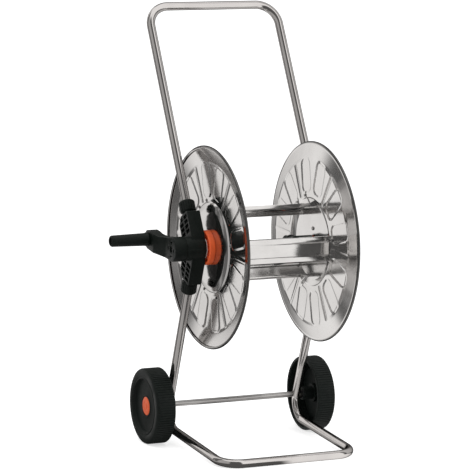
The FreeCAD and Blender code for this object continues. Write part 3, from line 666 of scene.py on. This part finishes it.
@dataclass
class Finishes:
    """All the cart's finishes, by the record's slots."""

    hub: Vector
    slots: dict[str, bpy.types.Material] = field(default_factory=dict)

    def build(self) -> None:
        """Build every material."""
        effects = Effects()
        self.slots = {
            "plated_tube": MetalFinish(
                "plated_tube", (0.74, 0.715, 0.70), (0.68, 0.655, 0.645), 0.10, 0.18, Grain.ALL_ROUND, 0.02, 0.05,
            ).make(effects),
            "polished_sheet": SpunSheetFinish(
                "polished_sheet", (0.87, 0.86, 0.85), (0.80, 0.785, 0.775), 0.09, 0.15, 700.0, 0.02,
            ).make(effects, self.hub),
            "bar_sheet": MetalFinish(
                "bar_sheet", (0.80, 0.79, 0.78), (0.72, 0.71, 0.70), 0.14, 0.26, Grain.ALONG_CART, 0.08, 0.8,
            ).make(effects),
            "zinc_steel": MetalFinish(
                "zinc_steel", (0.52, 0.51, 0.50), (0.42, 0.41, 0.405), 0.28, 0.42, Grain.ALONG_CART, 0.20, 0.4,
            ).make(effects),
            "black_plastic": PlasticFinish(
                "black_plastic", (0.0028, 0.0056, 0.0042), (0.0042, 0.0078, 0.0060), (0.018, 0.024, 0.020),
                (0.16, 0.155, 0.14), 0.02, 0.42, 0.54, 1500.0, 0.25,
            ).make(effects),
            "orange_plastic": PlasticFinish(
                "orange_plastic", (0.83, 0.125, 0.03), (0.74, 0.10, 0.025), (0.90, 0.30, 0.15),
                (0.60, 0.45, 0.35), 0.12, 0.30, 0.42, 1100.0, 0.14,
            ).make(effects),
            "wheel_plastic": PlasticFinish(
                "wheel_plastic", (0.0030, 0.0062, 0.0050), (0.0050, 0.0092, 0.0076), (0.018, 0.024, 0.021),
                (0.15, 0.14, 0.125), 0.04, 0.52, 0.66, 900.0, 0.40,
            ).make(effects),
            "bush_plastic": PlasticFinish(
                "bush_plastic", (0.50, 0.50, 0.47), (0.42, 0.42, 0.40), (0.60, 0.60, 0.58),
                (0.35, 0.33, 0.30), 0.15, 0.45, 0.60, 1300.0, 0.20,
            ).make(effects),
            "seal_rubber": PlasticFinish(
                "seal_rubber", (0.012, 0.012, 0.012), (0.020, 0.020, 0.019), (0.04, 0.04, 0.04),
                (0.10, 0.10, 0.09), 0.10, 0.60, 0.75, 1600.0, 0.35,
            ).make(effects),
        }

    def dress_nodes(self, record: dict) -> None:
        """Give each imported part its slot's finish.

        Args:
            record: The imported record.
        """
        for row in record["subparts"]:
            part = bpy.data.objects[row["node"]]
            part.data.materials.clear()
            part.data.materials.append(self.slots[row["material_slot"]])


# Sub-assemblies


@dataclass(frozen=True)
class TubeLines:
    """The straight lines that the frame's tubes follow from the hub."""

    hub: Vector
    lean: float = math.radians(28.6)
    corner_back: float = 155.0 * MM
    corner_height: float = 33.5 * MM

    @property
    def up(self) -> Vector:
        """The direction up the handle."""
        return Vector((0.0, math.sin(self.lean), math.cos(self.lean)))

    @property
    def corner(self) -> Vector:
        """From the hub to the legs' lower corner."""
        return Vector((0.0, self.corner_back, self.corner_height - self.hub.z))

    @property
    def down(self) -> Vector:
        """The direction down the legs."""
        return self.corner.normalized()


@dataclass
class TubeFrame:
    """The handle and the base frame, each one tube bent on a mandrel."""

    finishes: Finishes
    hub: Vector
    lines: TubeLines
    radius: float = 9.0 * MM
    handle_bend: float = 46.0 * MM
    leg_bend: float = 40.0 * MM
    foot_bend: float = 42.0 * MM
    socket: float = 25.0 * MM
    round_faces: int = 40
    bend_steps: int = 28

    def bend_tube(self, name: str, corners: Sequence[Vector], bends: Sequence[float]) -> Piece:
        """Push a ring along straight runs and spin it round the bends.

        Args:
            name: The new piece's name.
            corners: The centre line's corners, both ends with them.
            bends: The centre line's radius at each inner corner.

        Returns:
            The tube, closed inside the brackets.
        """
        heading = (corners[1] - corners[0]).normalized()
        bpy.ops.mesh.primitive_circle_add(vertices=self.round_faces, radius=self.radius)
        piece = bpy.context.active_object
        piece.name = piece.data.name = name
        piece.data.transform(Matrix.Translation(corners[0]) @ heading.to_track_quat("Z", "X").to_matrix().to_4x4())
        here = corners[0]
        with editing(piece):
            bpy.ops.mesh.select_all(action="SELECT")
            for corner, after, bend in zip(corners[1:], corners[2:], bends):
                onward = (after - corner).normalized()
                turn = heading.angle(onward)
                reach = bend * math.tan(turn / 2.0)
                start = corner - heading * reach
                centre = start + (onward - heading * onward.dot(heading)).normalized() * bend
                bpy.ops.mesh.extrude_edges_move(TRANSFORM_OT_translate={"value": start - here})
                bpy.ops.mesh.spin(
                    steps=self.bend_steps, angle=-turn, center=centre, axis=heading.cross(onward).normalized())
                here = corner + onward * reach
                heading = onward
            bpy.ops.mesh.extrude_edges_move(TRANSFORM_OT_translate={"value": corners[-1] - here})
        close_up(piece)
        with editing(piece, "EDGE"):
            bpy.ops.mesh.select_all(action="DESELECT")
            bpy.ops.mesh.select_non_manifold(extend=False)
            bpy.ops.mesh.edge_face_add()
        close_up(piece)
        smooth(piece, 50.0)
        return piece

    def build(self) -> None:
        """Bend both tubes between the brackets' sockets."""
        low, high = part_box("handle_tube")
        left, right = (Vector((x, self.hub.y, self.hub.z)) for x in (low.x + self.radius, high.x - self.radius))
        up, down, corner = self.lines.up, self.lines.down, self.lines.corner
        rise = up * ((high.z - self.radius - self.hub.z) / up.z)
        handle = self.bend_tube(
            "bent_handle", [left + up * self.socket, left + rise, right + rise, right + up * self.socket],
            [self.handle_bend] * 2)
        hand_over(handle, "frame", "plated_tube", self.finishes.slots["plated_tube"], "handle_tube")
        low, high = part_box("base_frame_tube")
        foot = Vector((0.0, low.y + self.radius - self.hub.y, self.radius - self.hub.z))
        base = self.bend_tube(
            "bent_base",
            [left + down * self.socket, left + corner, left + foot, right + foot, right + corner,
             right + down * self.socket],
            [self.leg_bend, self.foot_bend, self.foot_bend, self.leg_bend])
        hand_over(base, "frame", "plated_tube", self.finishes.slots["plated_tube"], "base_frame_tube")


@dataclass
class PressedDisc:
    """One side disc of the reel: flat centre, petals and ribs pressed outwards, cone rim and rolled edge."""

    finishes: Finishes
    hub: Vector
    middle: float
    radius: float = 210.0 * MM
    bead: float = 3.0 * MM
    rim_plane: float = 122.2 * MM
    hole: float = 12.2 * MM
    centre_plane: float = 117.5 * MM
    slope: tuple[Point, ...] = ((79.0 * MM, 117.5 * MM), (91.0 * MM, 114.6 * MM), (93.5 * MM, 112.0 * MM))
    panel: tuple[Point, ...] = ((171.0 * MM, 113.2 * MM), (178.0 * MM, 115.2 * MM))
    cone_end: Point = (204.6 * MM, 120.0 * MM)
    easing: float = 1.2 * MM
    bead_roll: float = 285.0
    bead_faces: int = 14
    sheet: float = 1.2 * MM
    steps: int = 480
    centre_step: float = 9.0 * MM
    panel_step: float = 2.0 * MM
    emboss: float = 1.3 * MM
    wall: float = 3.2 * MM
    pattern_turn: float = -3.0
    sectors: int = 6
    petal: tuple[float, float, float, float] = (104.0 * MM, 175.0 * MM, 39.0 * MM, 14.0 * MM)
    petal_angles: tuple[float, float] = (17.0, 43.0)
    rib: tuple[float, float, float, float] = (98.0 * MM, 173.0 * MM, 7.0 * MM, 3.4 * MM)

    def profile(self) -> list[Point]:
        """The sheet's inner face, from the hub's hole to the end of the rolled edge.

        Returns:
            Its points as (radius, X from the drum's middle).
        """
        bead_centre = (self.radius - self.bead, self.rim_plane)
        start = math.degrees(math.atan2(self.cone_end[1] - bead_centre[1], self.cone_end[0] - bead_centre[0]))
        roll = arc_points(bead_centre, self.bead, start, start + self.bead_roll, self.bead_faces)
        corners = [(self.hole, self.centre_plane), *self.slope, *self.panel, self.cone_end]
        coarse = eased_profile(corners, self.easing)
        fine = [coarse[0]]
        for before, after in zip(coarse, coarse[1:]):
            gap = after[0] - before[0]
            parts = max(1, round(gap / (self.panel_step if before[0] > self.slope[1][0] else self.centre_step)))
            fine += [
                (before[0] + gap * part / parts, before[1] + (after[1] - before[1]) * part / parts)
                for part in range(1, parts + 1)
            ]
        return fine + roll[1:]

    def pressed(self, y: float, z: float) -> float:
        """How far a point of the disc is pressed outwards.

        Args:
            y: Its place forwards or back from the hub's axis.
            z: Its place above the axis.

        Returns:
            0 for the plain sheet, 1 for the top of a petal or rib.
        """
        radius = math.hypot(y, z)
        if not self.rib[0] - self.wall < radius < self.petal[1] + self.wall:
            return 0.0
        angle = math.degrees(math.atan2(z, -y)) - self.pattern_turn
        sector = 360.0 / self.sectors
        offset = angle % sector
        shapes = [(self.rib, 0.0), (self.rib, sector)] + [(self.petal, place) for place in self.petal_angles]
        return max(self.rise(shape, radius, math.radians(offset - place)) for shape, place in shapes)

    def rise(self, shape: tuple[float, float, float, float], radius: float, turn: float) -> float:
        """Height of one rounded rectangle.

        Args:
            shape: Its inner and outer radius, width and corner.
            radius: The point's distance from the hub's axis.
            turn: The point's angle from the shape's spoke, in radians.

        Returns:
            0 outside it to 1 on its top.
        """
        inner, outer, width, corner = shape
        along = abs(radius * math.cos(turn) - (inner + outer) / 2.0) - ((outer - inner) / 2.0 - corner)
        aside = abs(radius * math.sin(turn)) - (width / 2.0 - corner)
        gap = math.hypot(max(along, 0.0), max(aside, 0.0)) + min(max(along, aside), 0.0) - corner
        share = min(max(0.5 - gap / self.wall, 0.0), 1.0)
        return share * share * (3.0 - 2.0 * share)

    def press(self, name: str) -> Piece:
        """Spin, press and thicken the right-hand disc.

        Args:
            name: The new piece's name.

        Returns:
            The disc.
        """
        centre = Vector((self.middle, self.hub.y, self.hub.z))
        piece = turn_on_lathe(name, self.profile(), centre, self.steps)
        flat = min(piece.data.polygons, key=lambda face: face.center.x)
        if flat.normal.x > 0.0:
            piece.data.flip_normals()
        group = piece.vertex_groups.new(name="pressed")
        for vertex in piece.data.vertices:
            weight = self.pressed(vertex.co.y - self.hub.y, vertex.co.z - self.hub.z)
            if weight > 0.0:
                group.add([vertex.index], weight, "REPLACE")
        add_modifier(
            piece, "DISPLACE", direction="X", strength=self.emboss, mid_level=0.0, vertex_group="pressed")
        piece.vertex_groups.clear()
        add_modifier(piece, "SOLIDIFY", thickness=self.sheet, offset=-1.0)
        smooth(piece, 50.0)
        return piece

    def build(self) -> None:
        """Press one disc and mirror it for the other side."""
        right = self.press("pressed_disc_right")
        left = twin(right, "pressed_disc_left", mirror_x=self.middle)
        for disc, side in ((right, Side.RIGHT), (left, Side.LEFT)):
            hand_over(
                disc, "reel", "polished_sheet", self.finishes.slots["polished_sheet"], f"disc_{side.label}")


@dataclass
class Wheel:
    """Moulded wheel with a grooved tread, a dished face and a hollow inside, and its hub cap."""

    finishes: Finishes
    axle: Vector
    middle: float
    radius: float = 80.0 * MM
    inner: float = 165.0 * MM
    outer: float = 206.4 * MM
    recess: float = 57.0 * MM
    recess_floor: float = 199.5 * MM
    hub_inner: float = 163.0 * MM
    hub_outer: float = 189.0 * MM
    hub_radius: float = 14.0 * MM
    bore: float = 6.3 * MM
    cap_radius: float = 19.4 * MM
    grooves: int = 90
    faces_per_groove: int = 3
    groove_depth: float = 1.1 * MM

    def tyre(self, name: str) -> Piece:
        """Turn the right-hand wheel and cut its tread.

        Args:
            name: The new piece's name.

        Returns:
            The wheel.
        """
        r, out, inside = self.radius, self.outer, self.inner
        floor = self.recess_floor
        tread = [(73 * MM, inside), (78.4 * MM, inside), (r, inside + 1.6 * MM), (r, out - 5 * MM)]
        shoulder = [(r - 1.2 * MM, out - 2 * MM), (r - 4 * MM, out - 0.2 * MM), (r - 6 * MM, out)]
        face = [
            (self.recess + 6 * MM, out), (self.recess + 5 * MM, out - 0.8 * MM),
            (self.recess + 3.6 * MM, out - 0.8 * MM), (self.recess + 2.6 * MM, out),
            (self.recess + 2 * MM, out), (self.recess - 1 * MM, floor),
            (self.cap_radius + 5 * MM, floor), (self.cap_radius + 4 * MM, floor + 1.2 * MM),
            (self.cap_radius + 1.2 * MM, floor + 1.2 * MM), (self.cap_radius + 0.4 * MM, floor),
        ]
        core = [
            (17 * MM, floor), (17 * MM, self.hub_outer), (self.bore, self.hub_outer), (self.bore, self.hub_inner),
            (self.hub_radius, self.hub_inner), (self.hub_radius, self.hub_outer - 3 * MM),
            (20 * MM, self.hub_outer - 3 * MM), (20 * MM, floor - 4.5 * MM), (self.recess, floor - 4.5 * MM),
            (60 * MM, out - 4 * MM), (73 * MM, out - 4 * MM),
        ]
        profile = tread[:1] + eased_profile(tread[1:] + shoulder, 0.8 * MM, 2)
        profile += eased_profile(face, 0.7 * MM, 2) + eased_profile(core, 0.6 * MM, 2) + tread[:1]
        centre = Vector((self.middle, self.axle.y, self.axle.z))
        piece = turn_on_lathe(name, profile, centre, self.grooves * self.faces_per_groove)
        self.cut_tread(piece)
        smooth(piece, 40.0)
        return piece

    def cut_tread(self, piece: Piece) -> None:
        """Sink every third strip of faces across the tread and its shoulder.

        Args:
            piece: The wheel.
        """
        steps = self.grooves * self.faces_per_groove
        step = 2.0 * math.pi / steps
        shoulder_end = self.middle + self.outer - 1.5 * MM

        def in_groove(face: bpy.types.MeshPolygon) -> bool:
            """Whether a face lies on the tread, in a groove's strip."""
            y, z = face.center.y - self.axle.y, face.center.z - self.axle.z
            strip = math.floor(math.atan2(y, z) / step)
            on_tread = self.middle + self.inner + 1.4 * MM < face.center.x < shoulder_end
            return on_tread and math.hypot(y, z) > self.radius - 2.4 * MM and strip % self.faces_per_groove == 0

        pick_faces(piece, in_groove)
        with editing(piece, "FACE"):
            bpy.ops.mesh.inset(thickness=0.25 * MM, depth=-self.groove_depth, use_boundary=True)

    def cap(self, name: str) -> Piece:
        """Turn the right-hand hub cap, slightly domed with a sunk ring.

        Args:
            name: The new piece's name.

        Returns:
            The cap.
        """
        top, floor = self.outer - 5 * MM, self.recess_floor
        dome = [
            (0.0, top), (6 * MM, top - 0.05 * MM), (7 * MM, top - 0.7 * MM), (8.6 * MM, top - 0.7 * MM),
            (9.6 * MM, top - 0.15 * MM), (14 * MM, top - 0.3 * MM), (18.2 * MM, top - 0.7 * MM),
            (self.cap_radius, top - 1.4 * MM), (self.cap_radius, floor), (17 * MM, floor),
            (17 * MM, self.hub_outer + 4 * MM), (15.5 * MM, self.hub_outer + 4 * MM), (15.5 * MM, floor - 1 * MM),
            (0.0, floor - 1 * MM),
        ]
        centre = Vector((self.middle, self.axle.y, self.axle.z))
        piece = turn_on_lathe(name, eased_profile(dome, 0.6 * MM, 3), centre, 96)
        smooth(piece, 40.0)
        return piece

    def build(self) -> None:
        """Make one wheel and cap, and mirror them for the other side."""
        tyre, cap = self.tyre("grooved_wheel_right"), self.cap("hub_cap_right")
        left_tyre = twin(tyre, "grooved_wheel_left", mirror_x=self.middle)
        left_cap = twin(cap, "hub_cap_left", mirror_x=self.middle)
        slots = self.finishes.slots
        for label, tyre, cap in (("left", left_tyre, left_cap), ("right", tyre, cap)):
            hand_over(tyre, f"wheel_{label}", "wheel_plastic", slots["wheel_plastic"], f"wheel_{label}")
            hand_over(cap, f"wheel_{label}", "orange_plastic", slots["orange_plastic"], f"wheel_cap_{label}")


@dataclass
class CollarNuts:
    """The four knurled screw collars that clamp the tubes in the brackets."""

    finishes: Finishes
    hub: Vector
    middle: float
    lines: TubeLines
    frame_half: float = 148.5 * MM
    radius: float = 16.8 * MM
    end_radius: float = 13.8 * MM
    thread_radius: float = 12.95 * MM
    collet_hole: float = 11.05 * MM
    tube_hole: float = 9.2 * MM
    start: float = 78.0 * MM
    thread_end: float = 97.0 * MM
    lip: float = 2.0 * MM
    end: float = 103.5 * MM
    chamfer: float = 3.0 * MM
    grips: int = 20
    faces_per_grip: int = 4
    groove_depth: float = 0.9 * MM

    def turn(self, name: str, along: Vector, side: Side) -> Piece:
        """Turn one collar, cut its grip grooves and set it on its tube.

        Args:
            name: The new piece's name.
            along: The tube's direction, away from the hub.
            side: Which bracket it screws on.

        Returns:
            The collar.
        """
        start, end, lip = self.start, self.end, self.end - self.lip
        outside = [
            (self.end_radius, start), (self.radius, start + self.chamfer), (self.radius, end - self.chamfer),
            (self.end_radius, end),
        ]
        inside = [
            (self.tube_hole, end), (self.tube_hole, lip), (self.collet_hole, lip),
            (self.thread_radius, self.thread_end), (self.thread_radius, start), outside[0],
        ]
        profile = eased_profile(outside, 0.8 * MM, 2) + inside
        steps = self.grips * self.faces_per_grip
        piece = turn_on_lathe(name, profile, Vector((0.0, 0.0, 0.0)), steps)

        def in_groove(face: bpy.types.MeshPolygon) -> bool:
            """Whether a face lies on the straight outside, in a groove's strip."""
            strip = math.floor(math.atan2(face.center.y, face.center.z) * steps / (2.0 * math.pi))
            on_outside = math.hypot(face.center.y, face.center.z) > self.radius - 0.3 * MM
            return on_outside and strip % self.faces_per_grip == 0

        pick_faces(piece, in_groove)
        with editing(piece, "FACE"):
            bpy.ops.mesh.inset(thickness=0.2 * MM, depth=-self.groove_depth, use_boundary=True)
        offset = self.frame_half if side is Side.RIGHT else -self.frame_half
        turn = X_AXIS.rotation_difference(along).to_matrix().to_4x4()
        piece.data.transform(Matrix.Translation((self.middle + offset, self.hub.y, self.hub.z)) @ turn)
        smooth(piece)
        return piece

    def build(self) -> None:
        """Make the four collars."""
        for level, along in (("upper", self.lines.up), ("lower", self.lines.down)):
            for side in Side:
                node = f"collar_nut_{level}_{side.label}"
                collar = self.turn(f"knurled_{node}", along, side)
                hand_over(collar, "frame", "black_plastic", self.finishes.slots["black_plastic"], node)


@dataclass
class EasedParts:
    """Brackets, crank, elbows, nipples, hubs and drum bars, with the eased edges of moulding and rolling."""

    finishes: Finishes

    def build(self) -> None:
        """Ease each part's sharp edges."""
        plan = [(f"hub_bracket_{side.label}", "frame", "black_plastic", 1.4 * MM, 3) for side in Side]
        plan += [
            ("crank_arm", "reel", "black_plastic", 1.6 * MM, 3),
            ("crank_grip", "crank_grip", "black_plastic", 0.5 * MM, 2),
            ("inlet_elbow", "inlet_elbow", "black_plastic", 0.5 * MM, 2),
            ("outlet_elbow", "reel", "black_plastic", 0.5 * MM, 2),
            ("inlet_nipple", "inlet_elbow", "black_plastic", 0.3 * MM, 2),
            ("outlet_nipple", "reel", "black_plastic", 0.3 * MM, 2),
        ]
        plan += [(f"reel_hub_{side.label}", "reel", "orange_plastic", 0.5 * MM, 2) for side in Side]
        plan += [(f"drum_bar_{place}", "reel", "bar_sheet", 0.5 * MM, 3) for place in ("front", "top", "rear")]
        for node, body, slot, width, segments in plan:
            piece = eased_copy(node, f"eased_{node}", width, segments)
            hand_over(piece, body, slot, self.finishes.slots[slot], node)


@dataclass
class Studio:
    """Pale floor, soft light, mirrored walls and the camera.

    A wall is a bearing in degrees, to the right of straight behind the cart, and a brightness.
    """

    target: Vector = field(default_factory=lambda: Vector((-0.014635, -0.030352, 0.454720)))
    distance: float = 5.709
    azimuth: float = 24.264
    elevation: float = 7.964
    roll: float = 0.389
    sensor: float = 36.0
    lens: float = 212.0
    walls: tuple[tuple[float, float], ...] = (
        (-152.0, 0.42), (-110.0, 0.48), (-96.0, 0.42), (-90.0, 0.12), (-73.0, 0.12), (-70.5, 0.40), (-68.0, 0.40),
        (-66.0, 0.10), (-60.0, 0.10), (-56.0, 0.95), (-31.0, 0.95), (-25.0, 0.26), (8.0, 0.26), (18.0, 0.62),
        (84.0, 0.55), (92.0, 0.08), (101.0, 0.08), (107.0, 0.98), (142.0, 0.98), (149.0, 0.10), (-160.0, 0.10),
    )
    floor_size: float = 110.0
    aim_height: float = 0.45

    def place_camera(self) -> None:
        """Set the camera up in front of the crank side."""
        turn, tilt, roll = (math.radians(angle) for angle in (self.azimuth, self.elevation, self.roll))
        ahead = Vector((math.sin(turn) * math.cos(tilt), math.cos(turn) * math.cos(tilt), -math.sin(tilt)))
        level = Vector((math.cos(turn), -math.sin(turn), 0.0))
        upright = level.cross(ahead)
        right = level * math.cos(roll) + upright * math.sin(roll)
        up = upright * math.cos(roll) - level * math.sin(roll)
        camera = bpy.data.objects.new("camera", bpy.data.cameras.new("camera"))
        camera.data.lens = self.lens
        camera.data.sensor_width = self.sensor
        camera.data.clip_end = 60.0
        place = Matrix((right, up, -ahead)).transposed().to_4x4()
        place.translation = self.target - ahead * self.distance
        camera.matrix_world = place
        bpy.context.scene.collection.objects.link(camera)
        bpy.context.scene.camera = camera

    def mirrored_room(self, board: NodeBoard, place: bpy.types.NodeSocket) -> bpy.types.NodeSocket:
        """What polished metal mirrors of the room, by the bearing it looks in: pale walls and dark gaps.

        Args:
            board: Where to add the nodes.
            place: A point of the floor or a direction in the sky, seen from the cart.

        Returns:
            The wall's colour in that direction.
        """
        around = board.add("ShaderNodeTexGradient", {"Vector": place}, gradient_type="RADIAL")
        walls = board.add("ShaderNodeValToRGB", {0: around.outputs["Fac"]})
        stops = walls.color_ramp.elements
        while len(stops) > 1:
            stops.remove(stops[-1])
        for index, (bearing, level) in enumerate(self.walls):
            share = (0.75 - (self.azimuth + bearing) / 360.0) % 1.0
            stop = stops[0] if index == 0 else stops.new(share)
            stop.position = share
            stop.color = (level, level * 0.985, level * 0.972, 1.0)
        return walls.outputs["Color"]

    def lay_floor(self) -> None:
        """Lay the pale floor, lit to white in view, with the walls' reflections on it for the metal."""
        bpy.ops.mesh.primitive_grid_add(x_subdivisions=8, y_subdivisions=8, size=self.floor_size)
        floor = bpy.context.active_object
        floor.name = floor.data.name = "pale_floor"
        material = bpy.data.materials.new("pale_floor")
        material.use_nodes = True
        board = NodeBoard(material.node_tree)
        path = board.add("ShaderNodeLightPath")
        pale = board.add("ShaderNodeBsdfDiffuse", {"Color": (0.80, 0.80, 0.80, 1.0)})
        lift = board.add("ShaderNodeEmission", {"Color": (0.62, 0.62, 0.62, 1.0)})
        lit = board.add("ShaderNodeAddShader", {0: pale.outputs["BSDF"], 1: lift.outputs["Emission"]})
        viewed = board.add("ShaderNodeMixShader", {
            0: path.outputs["Is Camera Ray"], 1: pale.outputs["BSDF"], 2: lit.outputs["Shader"]})
        place = board.add("ShaderNodeTexCoord").outputs["Object"]
        mirrored = board.add("ShaderNodeEmission", {"Color": self.mirrored_room(board, place)})
        mix = board.add("ShaderNodeMixShader", {
            0: path.outputs["Is Glossy Ray"], 1: viewed.outputs["Shader"], 2: mirrored.outputs["Emission"]})
        board.add("ShaderNodeOutputMaterial", {"Surface": mix.outputs["Shader"]})
        floor.data.materials.append(material)

    def paint_world(self) -> None:
        """White surroundings, with the walls and the bright ceiling that the metal mirrors."""
        world = bpy.data.worlds.new("studio")
        world.use_nodes = True
        bpy.context.scene.world = world
        board = NodeBoard(world.node_tree)
        path = board.add("ShaderNodeLightPath")
        ahead = board.add("ShaderNodeTexCoord").outputs["Generated"]
        height = board.add("ShaderNodeSeparateXYZ", {0: ahead}).outputs["Z"]
        ceiling = board.add("ShaderNodeMapRange", {
            "Value": height, "From Min": 0.84, "From Max": 0.93}, interpolation_type="SMOOTHSTEP")
        seen = board.add("ShaderNodeMix", {0: ceiling.outputs["Result"]}, data_type="RGBA")
        board.tree.links.new(self.mirrored_room(board, ahead), seen.inputs["A"])
        seen.inputs["B"].default_value = (0.98, 0.97, 0.96, 1.0)
        white = board.add("ShaderNodeBackground", {"Color": (1.0, 1.0, 1.0, 1.0), "Strength": 1.0})
        room = board.add("ShaderNodeBackground", {"Color": seen.outputs["Result"], "Strength": 1.0})
        soft = board.add("ShaderNodeBackground", {"Color": (0.9, 0.9, 0.9, 1.0), "Strength": 0.9})
        inner = board.add("ShaderNodeMixShader", {
            0: path.outputs["Is Glossy Ray"], 1: soft.outputs["Background"], 2: room.outputs["Background"]})
        mix = board.add("ShaderNodeMixShader", {
            0: path.outputs["Is Camera Ray"], 1: inner.outputs["Shader"], 2: white.outputs["Background"]})
        board.add("ShaderNodeOutputWorld", {"Surface": mix.outputs["Shader"]})

    def hang_softbox(self, name: str, bearing: float, height: float, distance: float, size: Point,
                     brightness: float) -> None:
        """Hang one rectangular softbox that faces the cart.

        Args:
            name: The light's name.
            bearing: Degrees round from straight behind the cart as the camera sees it, to the right.
            height: Height of the box's middle.
            distance: From the cart.
            size: Width and height.
            brightness: Of its face, 1 for white paper.
        """
        turn = math.radians(self.azimuth + bearing)
        place = Vector((math.sin(turn) * distance, math.cos(turn) * distance, height))
        light = bpy.data.lights.new(name, "AREA")
        light.shape = "RECTANGLE"
        light.size, light.size_y = size
        light.energy = brightness * math.pi * size[0] * size[1]
        box = bpy.data.objects.new(name, light)
        aim = place - Vector((0.0, 0.0, self.aim_height))
        box.matrix_world = Matrix.Translation(place) @ aim.to_track_quat("Z", "Y").to_matrix().to_4x4()
        box.visible_camera = box.visible_glossy = False
        bpy.context.scene.collection.objects.link(box)

    def build(self) -> None:
        """Set up the whole studio."""
        bpy.context.scene.view_settings.view_transform = "Standard"
        self.place_camera()
        self.lay_floor()
        self.paint_world()
        self.hang_softbox("top_box", 180.0, 2.0, 0.9, (2.2, 1.8), 0.9)


def main() -> None:
    """Build the cart's looks and the studio, in order."""
    logging.basicConfig(level=logging.INFO, format="%(message)s")
    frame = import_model()
    record = frame["record"]
    joints = {joint["name"]: Vector(joint["pos_m"]) for joint in record["behaviour"]["joints"]}
    hub, axle = joints["reel_spin"], joints["wheel_left_spin"]
    middle = hub.x
    finishes = Finishes(hub)
    finishes.build()
    finishes.dress_nodes(record)
    Studio().build()
    lines = TubeLines(hub)
    TubeFrame(finishes, hub, lines).build()
    PressedDisc(finishes, hub, middle).build()
    Wheel(finishes, axle, middle).build()
    CollarNuts(finishes, hub, middle, lines).build()
    EasedParts(finishes).build()


if __name__ == "__main__":
    main()
